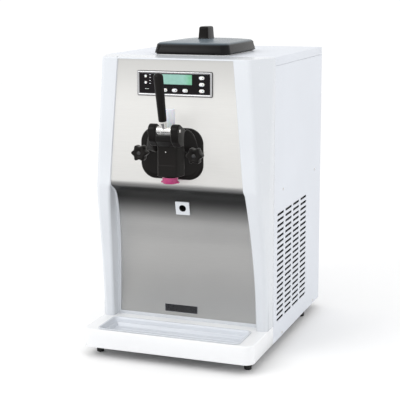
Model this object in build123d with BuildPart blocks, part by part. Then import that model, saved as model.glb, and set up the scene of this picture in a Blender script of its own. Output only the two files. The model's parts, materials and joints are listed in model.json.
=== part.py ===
from build123d import *
import os
from math import cos, radians, sin

os.makedirs("parts", exist_ok=True)

# A countertop soft serve freezer, in millimetres. +Z is up, -Y is the front where the head is,
# +X is the right-hand side seen from the front. The origin is the centre of the whole machine's
# footprint on the worktop. Heights named "..._H" are counted from the underside of the cabinet,
# and depths named "..._D" from the joint plane, where the fascia meets the sheet-metal cabinet.

# ---- Cabinet ----
WIDTH = 430.0
BODY_D = 437.0
BODY_H = 694.0
FOOT_HEIGHT = 25.0
SHEET = 1.5
SCREW_HEAD = 1.5
RIM_H = 20.0
LEVER_REACH = 202.1
JOINT_Y = (LEVER_REACH - BODY_D - SCREW_HEAD) / 2
BACK_Y = JOINT_Y + BODY_D
BASE_Z = FOOT_HEIGHT
TOP_Z = BASE_Z + BODY_H
HALF = WIDTH / 2

# ---- Side vents: columns along Y, rows up Z ----
VENT_COLUMNS = 4
VENT_ROWS = 20
VENT_PITCH_Y = 69.5
VENT_PITCH_Z = 13.84
VENT_LENGTH = 57.0
VENT_HEIGHT = 6.5
VENT_CENTRE = (160.7, 182.5)
SIDE_SCREWS = [(75.4, 7.7), (373.6, 7.7), (75.4, 370.5), (373.6, 370.5)]
REAR_SCREWS = [(x, h) for x in (-203, 203) for h in (14, 345, 660)]
SCREW_HEAD_R = 3.6
SCREW_SHANK_R = 2.0
SCREW_HOLE_R = 2.3

# ---- Fascia and the steel front panel in it ----
FACE_D = 96.0
FACE_Y = JOINT_Y - FACE_D
SHOULDER_H = 390.0
WALL = 3.0
LIP = 3.0
CAP_T = 2.0
PANEL_BOTTOM_H = 53.0
PANEL_TOP_H = 690.5
FOOT_SETBACK = 48.0
TOP_OUTER, SHOULDER_OUTER, OUTER_GAIN = 187.5, 204.8, 9.7
TOP_INNER, SHOULDER_INNER, INNER_GAIN = 143.0, 168.0, 17.5
WINDOW_FOOT = 180.0
FLANGE_D = 40.0
CORNER_R = 14.0

# ---- Drip shelf and its removable tray ----
SHELF_D = 168.0
SHELF_H = 45.0
SHELF_CORNER_R = 27.0
BASIN_HALF = 178.0
BASIN_FRONT_D = 158.0
BASIN_BACK_D = 58.0
BASIN_DEPTH = 21.0
TRAY_RIM = 3.0
TRAY_WALL = 2.0

# ---- Dispensing head ----
HEAD_H = 473.5
HEAD_Z = BASE_Z + HEAD_H
PLATE_W, PLATE_H, PLATE_T, PLATE_R = 162.0, 123.0, 16.0, 40.0
SPOUT_D = 125.0
SPOUT_Y = JOINT_Y - SPOUT_D
BLOCK_D = 146.0
BORE_R = 12.6
PLUNGER_R = 12.5
PIVOT_Y = JOINT_Y - 156.0
PIVOT_Z = BASE_Z + 534.0
EAR_IN, EAR_OUT = 18.5, 37.0
PIN_R = 4.0
RUNNING = 0.05
TIP_ARM = 31.0
TIP_REST_DEG = -22.5
TIP_R = 4.0
STUD_X = 68.0
STUD_H = 477.0
STUD_R = 5.0
KNOB_LOBES = 6

# ---- Freezing cylinder, hopper and drive ----
TUBE_IN_R, TUBE_OUT_R = 42.0, 45.0
TUBE_BACK_D = 195.0
SHAFT_R = 10.0
FEED_D = 120.0
HOPPER_HALF = 84.0
HOPPER_FRONT_D, HOPPER_BACK_D = 18.0, 222.0
HOPPER_BOTTOM_H = 560.0
MOTOR_H = 300.0
PULLEY_FRONT_D = 290.0
PULLEY_W = 16.0
BIG_GROOVE_R, SMALL_GROOVE_R = 55.0, 18.0
FLANGE_LIP = 5.0
FAN_D, FAN_H = 165.0, 175.0
COMPRESSOR_X, COMPRESSOR_D, COMPRESSOR_R = 115.0, 100.0, 65.0

# ---- Display ----
DISPLAY_H = 635.0
DISPLAY_W, DISPLAY_TALL = 186.6, 57.0
FRAME_BAND = 5.3
BUTTON_L, BUTTON_W = 13.0, 8.0
BUTTONS = {
    "button_menu": (-24, 620),
    "button_set": (1, 620),
    "button_clean": (27, 620),
    "button_power": (68, 650),
    "button_auto": (68, 635),
    "button_stop": (68, 620),
}

# ---- Drip outlet and badge on the steel panel ----
OUTLET_H = 332.0
OUTLET_R = 8.5
BADGE_X, BADGE_H = -15.8, 72.0


def save(piece, name):
    """Label a finished piece and write its STEP file."""
    piece.part.label = name
    export_step(piece.part, f"parts/{name}.step")


def block(x, y, z, mode=Mode.ADD):
    """A box between two limits on each axis."""
    centre = [(low + high) / 2 for low, high in (x, y, z)]
    with Locations(tuple(centre)):
        Box(x[1] - x[0], y[1] - y[0], z[1] - z[0], mode=mode)


def rod(axis, centre, radius, span, mode=Mode.ADD):
    """A round bar along X, Y or Z; centre gives its two other coordinates, in XYZ order."""
    middle = (span[0] + span[1]) / 2
    place = {
        "x": Location((middle, *centre), (0, 90, 0)),
        "y": Location((centre[0], middle, centre[1]), (90, 0, 0)),
        "z": Location((*centre, middle), (0, 0, 0)),
    }[axis]
    with Locations(place):
        Cylinder(radius, span[1] - span[0], mode=mode)


def below_shoulder(height, power):
    """0 at the shoulder and above, rising to 1 at the foot of the fascia."""
    if height >= SHOULDER_H:
        return 0.0
    return (1 - (height / SHOULDER_H) ** 2) ** power


def above_shoulder(height):
    """0 at the shoulder, 1 at the top of the cabinet."""
    return max(0.0, (height - SHOULDER_H) / (BODY_H - SHOULDER_H))


def setback(height):
    """How far a cheek's front lies behind the upper face."""
    return FOOT_SETBACK * below_shoulder(height, 1.2)


def outer_half(height):
    """Half-width of the fascia's front, outside."""
    taper = (TOP_OUTER - SHOULDER_OUTER) * above_shoulder(height)
    return SHOULDER_OUTER + taper + OUTER_GAIN * below_shoulder(height, 0.6)


def inner_half(height):
    """Half-width of the opening between the cheeks."""
    taper = (TOP_INNER - SHOULDER_INNER) * above_shoulder(height)
    return SHOULDER_INNER + taper + INNER_GAIN * below_shoulder(height, 0.8)


def window_half(height):
    """Half-width of the steel that shows between the lips."""
    if height >= SHOULDER_H:
        return inner_half(height)
    return WINDOW_FOOT + (SHOULDER_INNER - WINDOW_FOOT) * height / SHOULDER_H


def fascia_section(height, inset):
    """Corner points of the fascia's plan section at a height, moved inwards by inset."""
    half = outer_half(height) - inset
    front = FACE_Y + setback(height) + inset
    flange = JOINT_Y - FLANGE_D + 12 * below_shoulder(height, 1.0)
    back = JOINT_Y + (1 if inset else 0)
    right = [(HALF - inset, back), (HALF - inset, flange), (half, front)]
    return right + [(-x, y) for x, y in reversed(right)]


def fascia_block(heights, inset):
    """A smooth block through the fascia's plan sections."""
    with BuildPart() as body:
        for height in heights:
            with BuildSketch(Plane.XY.offset(BASE_Z + height)) as plan:
                with BuildLine():
                    Polyline(*fascia_section(height, inset), close=True)
                make_face()
                corners = plan.vertices().group_by(Axis.Y)[0]
                fillet(corners, radius=CORNER_R - inset)
        loft(ruled=len(heights) == 2)
    return body.part


def front_outline(half_width, top, bottom, extra):
    """A symmetric prism through the fascia, as wide as half_width says at each height."""
    steps = 8
    low = [bottom + (SHOULDER_H - bottom) * i / steps for i in range(steps + 1)]
    with BuildPart() as prism:
        with BuildSketch(Plane.XZ.offset(-BACK_Y)):
            with BuildLine():
                right = [(half_width(h) + extra, BASE_Z + h) for h in low]
                left = [(-x, z) for x, z in right]
                edge_right = Spline(*right)
                edge_left = Spline(*left)
                crown = half_width(top) + extra
                Polyline(edge_right @ 1, (crown, BASE_Z + top), (-crown, BASE_Z + top), edge_left @ 1)
                Line(edge_right @ 0, edge_left @ 0)
            make_face()
        extrude(amount=BODY_D + 400)
    return prism.part


def panel_profile(ahead):
    """The steel panel's side profile as (start, bend points, foot), moved forward by ahead."""
    front = FACE_Y + LIP - ahead
    bends = [(front, 400), (front + 24, 374), (front + 49, 332), (front + 66, 246), (front + 72, 150)]
    return [(y, BASE_Z + h) for y, h in bends], (front + 74, BASE_Z + PANEL_BOTTOM_H - 12)


def in_front_of_panel(ahead):
    """Everything ahead of the panel's face, as a solid across the machine."""
    bends, foot = panel_profile(ahead)
    with BuildPart() as region:
        with BuildSketch(Plane.YZ.offset(-HALF)):
            with BuildLine():
                slope = (foot[0] - bends[-1][0], foot[1] - bends[-1][1])
                curve = Spline(*bends, tangents=[(0, -1), slope])
                Line(curve @ 1, foot)
                Line(foot, (FACE_Y - 60, foot[1]))
                Line((FACE_Y - 60, foot[1]), (FACE_Y - 60, TOP_Z + 5))
                Line((FACE_Y - 60, TOP_Z + 5), (curve @ 0 + Vector(0, TOP_Z + 5 - bends[0][1])))
                Line((curve @ 0 + Vector(0, TOP_Z + 5 - bends[0][1])), curve @ 0)
            make_face()
        extrude(amount=WIDTH)
    return region.part


# ---- Base pan, with a tongue that carries the shelf and the front feet ----
FEET = {
    "foot_front_left": (-190, JOINT_Y - 120),
    "foot_front_right": (190, JOINT_Y - 120),
    "foot_rear_left": (-195, JOINT_Y + 325),
    "foot_rear_right": (195, JOINT_Y + 325),
}
FOOT_STUD_R = 4.0
PAN_Z = (BASE_Z + 1, BASE_Z + 3)
PAN_HALF = 205.5

with BuildPart() as base_pan:
    block((-PAN_HALF, PAN_HALF), (JOINT_Y - 150, BACK_Y - 4), PAN_Z)
    for side in (-1, 1):
        edge = sorted((side * (PAN_HALF - 2), side * PAN_HALF))
        block(edge, (JOINT_Y + 2, BACK_Y - 4), (PAN_Z[0], BASE_Z + 22))
    block((-PAN_HALF, PAN_HALF), (BACK_Y - 6, BACK_Y - 4), (PAN_Z[0], BASE_Z + 22))
    for x, y in FEET.values():
        rod("z", (x, y), FOOT_STUD_R + RUNNING, PAN_Z, Mode.SUBTRACT)
save(base_pan, "base_pan")

for foot_name, (foot_x, foot_y) in FEET.items():
    with BuildPart() as foot:
        with Locations((foot_x, foot_y, FOOT_HEIGHT / 2 - 0.5)):
            Cone(8.5, 11, FOOT_HEIGHT - 1)
        chamfer(foot.edges().group_by(Axis.Z)[0], length=1.2)
        rod("z", (foot_x, foot_y), FOOT_STUD_R, (FOOT_HEIGHT - 1, FOOT_HEIGHT + 20))
    save(foot, foot_name)

# ---- Welded frame: corner posts, side rails and two cross rails that carry the drive ----
POST = 25.0
POST_OUT = 203.0
POST_Y = (JOINT_Y + 8, BACK_Y - 10 - POST)
RAIL_H = (408.0, 411.0)

with BuildPart() as inner_frame:
    for side in (-1, 1):
        outer = sorted((side * POST_OUT, side * (POST_OUT - 2)))
        wide = sorted((side * POST_OUT, side * (POST_OUT - POST)))
        for post_y, web_y in ((POST_Y[0], POST_Y[0]), (POST_Y[1], POST_Y[1] + POST - 2)):
            block(outer, (post_y, post_y + POST), (PAN_Z[1], BASE_Z + 660))
            block(wide, (web_y, web_y + 2), (PAN_Z[1], BASE_Z + 660))
        block(wide, (POST_Y[0], POST_Y[1] + POST), [BASE_Z + h for h in RAIL_H])
    for rail_d in (208, 252):
        block((-POST_OUT, POST_OUT), (JOINT_Y + rail_d, JOINT_Y + rail_d + 20), [BASE_Z + h for h in RAIL_H])
save(inner_frame, "inner_frame")

# ---- Bulkhead behind the steel panel: it holds the cylinder and the door studs ----
BULK_Y = (FACE_Y + 10, FACE_Y + 13)
BULK_H = (412.0, 545.0)
with BuildPart() as front_bulkhead:
    bulk_z = [BASE_Z + h for h in BULK_H]
    block((-130, 130), BULK_Y, bulk_z)
    for side in (-1, 1):
        block(sorted((side * 127, side * 130)), (BULK_Y[0], POST_Y[0]), bulk_z)
        block(sorted((side * 127, side * 198)), (POST_Y[0] - 3, POST_Y[0]), bulk_z)
    rod("y", (0, HEAD_Z), TUBE_OUT_R + 0.3, BULK_Y, Mode.SUBTRACT)
save(front_bulkhead, "front_bulkhead")


# ---- Sheet-metal cabinet ----
def side_panel(side, name):
    """One side sheet with its returned front edge, vents and screw holes."""
    with BuildPart() as panel:
        sheet = sorted((side * HALF, side * (HALF - SHEET)))
        fold = sorted((side * HALF, side * (HALF - 9)))
        heights = (BASE_Z, TOP_Z - RIM_H - 0.5)
        block(sheet, (JOINT_Y, BACK_Y), heights)
        block(fold, (JOINT_Y, JOINT_Y + SHEET), heights)
        with BuildSketch(Plane.YZ.offset(sheet[0])) as vents:
            with Locations((JOINT_Y + VENT_CENTRE[0], BASE_Z + VENT_CENTRE[1])):
                with GridLocations(VENT_PITCH_Y, VENT_PITCH_Z, VENT_COLUMNS, VENT_ROWS):
                    SlotOverall(VENT_LENGTH, VENT_HEIGHT)
            with Locations([(JOINT_Y + depth, BASE_Z + height) for depth, height in SIDE_SCREWS]):
                Circle(SCREW_HOLE_R)
        extrude(vents.sketch, amount=SHEET, mode=Mode.SUBTRACT)
    save(panel, name)


side_panel(-1, "left_side_panel")
side_panel(1, "right_side_panel")

INLET_X, INLET_H = 150.0, 60.0
INLET_W, INLET_TALL = 27.0, 20.0
with BuildPart() as rear_panel:
    block((-HALF + SHEET, HALF - SHEET), (BACK_Y - SHEET, BACK_Y), (BASE_Z, TOP_Z - RIM_H - 0.5))
    with BuildSketch(Plane.XZ.offset(-BACK_Y)) as rear_cuts:
        with Locations((0, BASE_Z + 210)):
            with GridLocations(80, 18, 4, 12):
                SlotOverall(64, VENT_HEIGHT)
        with Locations((INLET_X, BASE_Z + INLET_H)):
            Rectangle(INLET_W + 4, INLET_TALL + 4)
        with Locations([(x, BASE_Z + h) for x, h in REAR_SCREWS]):
            Circle(SCREW_HOLE_R)
    extrude(rear_cuts.sketch, amount=SHEET, mode=Mode.SUBTRACT)
save(rear_panel, "rear_panel")

with BuildPart() as top_cover:
    block((-HALF, HALF), (JOINT_Y, BACK_Y), (TOP_Z - RIM_H, TOP_Z))
    inside = (-HALF + SHEET, HALF - SHEET)
    block(inside, (JOINT_Y + SHEET, BACK_Y - SHEET), (TOP_Z - RIM_H, TOP_Z - SHEET), Mode.SUBTRACT)
    hopper_x = (-HOPPER_HALF - 0.5, HOPPER_HALF + 0.5)
    hopper_y = (JOINT_Y + HOPPER_FRONT_D - 0.5, JOINT_Y + HOPPER_BACK_D + 0.5)
    block(hopper_x, hopper_y, (TOP_Z - SHEET, TOP_Z), Mode.SUBTRACT)
save(top_cover, "top_cover")

with BuildPart() as panel_screws:
    for side in (-1, 1):
        for depth, height in SIDE_SCREWS:
            place = (JOINT_Y + depth, BASE_Z + height)
            rod("x", place, SCREW_HEAD_R, sorted((side * HALF, side * (HALF + SCREW_HEAD))))
            rod("x", place, SCREW_SHANK_R, sorted((side * HALF, side * (HALF - 5))))
    for x, height in REAR_SCREWS:
        rod("y", (x, BASE_Z + height), SCREW_HEAD_R, (BACK_Y, BACK_Y + SCREW_HEAD))
        rod("y", (x, BASE_Z + height), SCREW_SHANK_R, (BACK_Y - 3.5, BACK_Y))
save(panel_screws, "panel_screws")

# ---- White fascia: two cheeks, a top cap and a sill, with lips the steel panel sits behind ----
LOWER_HEIGHTS = [SHELF_H, 120, 200, 270, 335, SHOULDER_H]
UPPER_HEIGHTS = [SHOULDER_H, BODY_H]

recess = front_outline(inner_half, PANEL_TOP_H, SHELF_H - 1, 0) & in_front_of_panel(LIP)
rebate = front_outline(inner_half, BODY_H, SHELF_H - 1, WALL) & in_front_of_panel(0)
window = front_outline(window_half, PANEL_TOP_H, PANEL_BOTTOM_H, 0)

with BuildPart() as hollow:
    add(fascia_block(LOWER_HEIGHTS, WALL))
    add(fascia_block([SHOULDER_H, BODY_H - CAP_T], WALL))
    add(rebate, mode=Mode.SUBTRACT)

with BuildPart() as front_fascia:
    add(fascia_block(LOWER_HEIGHTS, 0))
    add(fascia_block(UPPER_HEIGHTS, 0))
    add(recess, mode=Mode.SUBTRACT)
    add(hollow.part, mode=Mode.SUBTRACT)
    add(window, mode=Mode.SUBTRACT)
save(front_fascia, "front_fascia")

# ---- Brushed steel front panel, bent in an S and set behind the fascia's lips ----
panel_blank = front_outline(inner_half, BODY_H - CAP_T - 0.2, SHELF_H, 2)
with BuildPart() as steel_front_panel:
    add(panel_blank & in_front_of_panel(-SHEET))
    add(in_front_of_panel(0), mode=Mode.SUBTRACT)
    cut = (FACE_Y - 5, FACE_Y + 30)
    rod("y", (0, HEAD_Z), 57, cut, Mode.SUBTRACT)
    for side in (-1, 1):
        rod("y", (side * STUD_X, BASE_Z + STUD_H), STUD_R + 1.5, cut, Mode.SUBTRACT)
    cutout_z = (BASE_Z + DISPLAY_H - 21, BASE_Z + DISPLAY_H + 21)
    block((-85, 85), cut, cutout_z, Mode.SUBTRACT)

# The outlet bezel lies flat on the slope under the shoulder, square to the panel there.
OUTLET_TILT = 13.0
outlet_slice = steel_front_panel.part & Box(2, 400, 0.2).locate(Location((0, FACE_Y, BASE_Z + OUTLET_H)))
OUTLET_Y = outlet_slice.bounding_box().min.Y
outlet_plane = Plane(
    origin=(0, OUTLET_Y - 0.6, BASE_Z + OUTLET_H),
    x_dir=(1, 0, 0),
    z_dir=(0, -cos(radians(OUTLET_TILT)), -sin(radians(OUTLET_TILT))),
)
OUTLET_TUBE_R = 11.0
OUTLET_BACK = 58.0
BEZEL_GAP = 1.2
with BuildPart() as outlet_hole:
    with BuildSketch(outlet_plane.offset(-20)):
        Circle(OUTLET_TUBE_R + 0.4)
    extrude(amount=24)
with steel_front_panel:
    add(outlet_hole.part, mode=Mode.SUBTRACT)
save(steel_front_panel, "steel_front_panel")

with BuildPart() as outlet_bezel:
    with BuildSketch(outlet_plane.offset(BEZEL_GAP)):
        RectangleRounded(36, 34, 2.5)
    extrude(amount=3.4)
    chamfer(outlet_bezel.edges().group_by(Axis.Y)[0], length=0.8)
    with BuildSketch(outlet_plane.offset(BEZEL_GAP)):
        Circle(OUTLET_TUBE_R)
    extrude(amount=-OUTLET_BACK)
    with BuildSketch(outlet_plane.offset(5)):
        Circle(OUTLET_R)
    extrude(amount=-OUTLET_BACK - 10, mode=Mode.SUBTRACT)
save(outlet_bezel, "outlet_bezel")

badge_bends, badge_foot = panel_profile(0)
lean = (badge_foot[0] - badge_bends[-1][0]) / (badge_bends[-1][1] - badge_foot[1])
badge_y = badge_foot[0] - lean * (BASE_Z + BADGE_H - badge_foot[1])
badge_plane = Plane(origin=(BADGE_X, badge_y, BASE_Z + BADGE_H), x_dir=(1, 0, 0), z_dir=(0, -1, -lean))
with BuildPart() as badge_plate:
    with BuildSketch(badge_plane.offset(0.1)):
        RectangleRounded(86, 20, 1.5)
    extrude(amount=1.2)
save(badge_plate, "badge_plate")

# ---- Drip shelf and the tray that lifts out of it ----
with BuildPart() as drip_shelf:
    with BuildSketch(Plane.XY.offset(BASE_Z)):
        with BuildLine():
            corner = HALF - SHELF_CORNER_R
            front = JOINT_Y - SHELF_D
            right = Line((HALF, JOINT_Y), (HALF, front + SHELF_CORNER_R))
            RadiusArc(right @ 1, (corner, front), SHELF_CORNER_R)
            Line((corner, front), (-corner, front))
            RadiusArc((-corner, front), (-HALF, front + SHELF_CORNER_R), SHELF_CORNER_R)
            Line((-HALF, front + SHELF_CORNER_R), (-HALF, JOINT_Y))
            Line((-HALF, JOINT_Y), right @ 0)
        make_face()
    extrude(amount=SHELF_H)
    offset(amount=-WALL, openings=drip_shelf.faces().sort_by(Axis.Z)[0])
    rim_edges = drip_shelf.edges().filter_by(lambda e: abs(e.center().Z - TOP_Z + BODY_H - SHELF_H) < 0.01)
    front_rim = [e for e in rim_edges if e.bounding_box().min.Y < front + 1 or abs(e.center().X) > HALF - 1]
    fillet(front_rim, radius=2.2)
    basin_y = (JOINT_Y - BASIN_FRONT_D, JOINT_Y - BASIN_BACK_D)
    block((-BASIN_HALF, BASIN_HALF), basin_y, (BASE_Z + 30, BASE_Z + SHELF_H + 1), Mode.SUBTRACT)
    tongue_slot = (-PAN_HALF - 1, PAN_HALF + 1)
    block(tongue_slot, (JOINT_Y - WALL - 1, JOINT_Y + 1), (BASE_Z, PAN_Z[1] + 0.5), Mode.SUBTRACT)
save(drip_shelf, "drip_shelf")

BASIN_Y = (basin_y[0] + basin_y[1]) / 2
BASIN_LEN = basin_y[1] - basin_y[0]
TRAY_TOP = BASE_Z + SHELF_H + 0.3


def basin(grow, top, floor, draft):
    """A tapered, round-cornered block the shape of the tray's basin."""
    with BuildPart() as body:
        for level, shrink in ((top, 0), (floor, draft)):
            with BuildSketch(Plane.XY.offset(level)):
                with Locations((0, BASIN_Y)):
                    width = 2 * (BASIN_HALF - 1 + grow - shrink)
                    RectangleRounded(width, BASIN_LEN - 2 + 2 * (grow - shrink), 12 + grow)
        loft(ruled=True)
    return body.part


with BuildPart() as drip_tray:
    add(basin(TRAY_RIM, TRAY_TOP, TRAY_TOP + 2, 0))
    add(basin(0, TRAY_TOP, TRAY_TOP - BASIN_DEPTH, 10))
    add(basin(-TRAY_WALL, TRAY_TOP + 2.1, TRAY_TOP - BASIN_DEPTH + TRAY_WALL, 10), mode=Mode.SUBTRACT)
save(drip_tray, "drip_tray")

# ---- Hopper, freezing cylinder and the seal where the shaft leaves it ----
FEED_Y = JOINT_Y + FEED_D
FEED_R = 11.5
TUBE_Y = (FACE_Y - 0.5, JOINT_Y + TUBE_BACK_D)

with BuildPart() as hopper:
    tub_y = (JOINT_Y + HOPPER_FRONT_D, JOINT_Y + HOPPER_BACK_D)
    block((-HOPPER_HALF, HOPPER_HALF), tub_y, (BASE_Z + HOPPER_BOTTOM_H, TOP_Z))
    fillet(hopper.edges().filter_by(Axis.Z), radius=18)
    fillet(hopper.edges().group_by(Axis.Z)[0], radius=12)
    offset(amount=-SHEET, openings=hopper.faces().sort_by(Axis.Z)[-1])
    with BuildSketch(Plane.XY.offset(TOP_Z)):
        with Locations((0, (tub_y[0] + tub_y[1]) / 2)):
            RectangleRounded(184, tub_y[1] - tub_y[0] + 16, 22)
            RectangleRounded(2 * (HOPPER_HALF - SHEET), tub_y[1] - tub_y[0] - 2 * SHEET, 16.5, mode=Mode.SUBTRACT)
    extrude(amount=SHEET)
    rod("z", (0, FEED_Y), FEED_R + 2.5, (HEAD_Z + TUBE_OUT_R + 0.5, BASE_Z + HOPPER_BOTTOM_H + 1))
    rod("z", (0, FEED_Y), FEED_R, (HEAD_Z + 40, BASE_Z + HOPPER_BOTTOM_H + 5), Mode.SUBTRACT)
save(hopper, "hopper")

with BuildPart() as air_tube:
    rod("z", (0, FEED_Y), FEED_R - RUNNING, (BASE_Z + 535, BASE_Z + 566))
    rod("z", (0, FEED_Y), 8, (BASE_Z + 566, BASE_Z + 640))
    rod("z", (0, FEED_Y), 5, (BASE_Z + 534, BASE_Z + 641), Mode.SUBTRACT)
    rod("x", (FEED_Y, BASE_Z + 572), 2.5, (-12, 12), Mode.SUBTRACT)
save(air_tube, "air_tube")

with BuildPart() as freezing_cylinder:
    rod("y", (0, HEAD_Z), TUBE_OUT_R, TUBE_Y)
    rod("y", (0, HEAD_Z), 55, (TUBE_Y[0], BULK_Y[0]))
    rod("y", (0, HEAD_Z), TUBE_IN_R, (TUBE_Y[0] - 1, TUBE_Y[1] - 6), Mode.SUBTRACT)
    rod("y", (0, HEAD_Z), SHAFT_R + 0.3, (TUBE_Y[1] - 7, TUBE_Y[1] + 1), Mode.SUBTRACT)
    rod("z", (0, FEED_Y), FEED_R, (HEAD_Z, HEAD_Z + TUBE_OUT_R + 2), Mode.SUBTRACT)
save(freezing_cylinder, "freezing_cylinder")

with BuildPart() as cylinder_insulation:
    block((-62, 62), (JOINT_Y - 60, JOINT_Y + 185), (HEAD_Z - 62, HEAD_Z + 62))
    fillet(cylinder_insulation.edges().filter_by(Axis.Y), radius=20)
    rod("y", (0, HEAD_Z), TUBE_OUT_R + 0.4, (JOINT_Y - 70, JOINT_Y + 190), Mode.SUBTRACT)
    rod("z", (0, FEED_Y), FEED_R + 3.5, (HEAD_Z, HEAD_Z + 70), Mode.SUBTRACT)
save(cylinder_insulation, "cylinder_insulation")

with BuildPart() as shaft_seal:
    rod("y", (0, HEAD_Z), 20, (TUBE_Y[1], TUBE_Y[1] + 10))
    rod("y", (0, HEAD_Z), SHAFT_R + RUNNING, (TUBE_Y[1] - 1, TUBE_Y[1] + 11), Mode.SUBTRACT)
save(shaft_seal, "shaft_seal")

# ---- Beater: shaft, two rails, spokes and twisted paddles, with plastic scraper blades ----
NOSE_R = 8.0
RAIL_R = 33.0
BEAT_Y = (FACE_Y + 8, JOINT_Y + TUBE_BACK_D - 14)
SPOKES = 5
PADDLES = 12
PADDLE_TWIST = 36.0
REDUCER_Y = (TUBE_Y[1] + 10, TUBE_Y[1] + 82)

with BuildPart() as beater:
    rod("y", (0, HEAD_Z), SHAFT_R, (FACE_Y + 3, REDUCER_Y[0] + 30))
    rod("y", (0, HEAD_Z), NOSE_R, (FACE_Y - 7.5, FACE_Y + 3))
    for side in (-1, 1):
        block((-4, 4), BEAT_Y, sorted((HEAD_Z + side * (RAIL_R - 4), HEAD_Z + side * (RAIL_R + 3))))
    for spoke in range(SPOKES):
        middle = BEAT_Y[0] + 6 + spoke * (BEAT_Y[1] - BEAT_Y[0] - 12) / (SPOKES - 1)
        block((-3, 3), (middle - 4, middle + 4), (HEAD_Z - RAIL_R, HEAD_Z + RAIL_R))
    for paddle in range(PADDLES):
        pitch = (BEAT_Y[1] - BEAT_Y[0] - 30) / (PADDLES - 1)
        middle = BEAT_Y[0] + 15 + paddle * pitch
        with Locations(Location((0, middle, HEAD_Z), (0, 90 + PADDLE_TWIST * (paddle - 5.5) / 4, 0))):
            Box(4, 16, 60)
save(beater, "beater")

with BuildPart() as scraper_blades:
    for side in (-1, 1):
        reach = sorted((HEAD_Z + side * (RAIL_R + 3), HEAD_Z + side * (TUBE_IN_R - 0.9)))
        block((-4, 4), (BEAT_Y[0] + 2, BEAT_Y[1] - 2), reach)
save(scraper_blades, "scraper_blades")

# ---- Drive: coaxial reducer, two grooved pulleys, belt and motor ----
REDUCER_HALF = 45.0
INPUT_R, MOTOR_SHAFT_R = 8.0, 7.0
PULLEY_Y = (JOINT_Y + PULLEY_FRONT_D, JOINT_Y + PULLEY_FRONT_D + PULLEY_W)
MOTOR_Z = BASE_Z + MOTOR_H
RAIL_TOP_Z, RAIL_LOW_Z = BASE_Z + RAIL_H[1], BASE_Z + RAIL_H[0]

with BuildPart() as gear_reducer:
    block((-REDUCER_HALF, REDUCER_HALF), REDUCER_Y, (RAIL_TOP_Z, HEAD_Z + REDUCER_HALF))
    fillet(gear_reducer.edges().filter_by(Axis.Y), radius=10)
    rod("y", (0, HEAD_Z), SHAFT_R + RUNNING, (REDUCER_Y[0] - 1, REDUCER_Y[0] + 32), Mode.SUBTRACT)
    rod("y", (0, HEAD_Z), INPUT_R + RUNNING, (REDUCER_Y[1] - 32, REDUCER_Y[1] + 1), Mode.SUBTRACT)
save(gear_reducer, "gear_reducer")


def pulley(height, groove_r, shaft_r, shaft_start, name):
    """A grooved pulley with its own shaft, running about Y."""
    with BuildPart() as wheel:
        place = (0, height)
        land = (PULLEY_Y[0] + 1.5, PULLEY_Y[1] - 1.5)
        rod("y", place, groove_r, PULLEY_Y)
        rod("y", place, groove_r + FLANGE_LIP, (PULLEY_Y[0], land[0]))
        rod("y", place, groove_r + FLANGE_LIP, (land[1], PULLEY_Y[1]))
        rod("y", place, shaft_r, (shaft_start, PULLEY_Y[1] + 3))
    save(wheel, name)


pulley(HEAD_Z, BIG_GROOVE_R, INPUT_R, REDUCER_Y[1] - 30, "reducer_pulley")
pulley(MOTOR_Z, SMALL_GROOVE_R, MOTOR_SHAFT_R, JOINT_Y + 245, "motor_pulley")

BELT_T = 4.0
with BuildPart() as drive_belt:
    for grow, mode in ((BELT_T, Mode.ADD), (0, Mode.SUBTRACT)):
        with BuildSketch(Plane.XZ.offset(-PULLEY_Y[1] + 2.2)) as loop:
            with Locations((0, HEAD_Z)):
                Circle(BIG_GROOVE_R + 0.4 + grow)
            with Locations((0, MOTOR_Z)):
                Circle(SMALL_GROOVE_R + 0.4 + grow)
            make_hull()
        extrude(loop.sketch, amount=PULLEY_W - 4.4, mode=mode)
save(drive_belt, "drive_belt")

MOTOR_R = 55.0
with BuildPart() as drive_motor:
    rod("y", (0, MOTOR_Z), MOTOR_R, (JOINT_Y + 150, JOINT_Y + 275))
    fillet(drive_motor.edges().filter_by(GeomType.CIRCLE), radius=8)
    block((-32, 32), (JOINT_Y + 208, JOINT_Y + 272), (MOTOR_Z + 45, RAIL_LOW_Z))
    rod("y", (0, MOTOR_Z), MOTOR_SHAFT_R + RUNNING, (JOINT_Y + 243, JOINT_Y + 276), Mode.SUBTRACT)
save(drive_motor, "drive_motor")

# ---- Refrigeration: compressor, condenser, fan and pipes ----
with BuildPart() as compressor:
    compressor_y = JOINT_Y + COMPRESSOR_D
    rod("z", (COMPRESSOR_X, compressor_y), COMPRESSOR_R, (BASE_Z + 18, BASE_Z + 198))
    fillet(compressor.edges().group_by(Axis.Z)[-1], radius=28)
    block((COMPRESSOR_X - 72, COMPRESSOR_X + 72), (compressor_y - 60, compressor_y + 60), (BASE_Z + 14, BASE_Z + 18))
    with Locations((COMPRESSOR_X, compressor_y, (PAN_Z[1] + BASE_Z + 14) / 2)):
        with GridLocations(120, 96, 2, 2):
            Cylinder(9, BASE_Z + 14 - PAN_Z[1])
save(compressor, "compressor")

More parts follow.
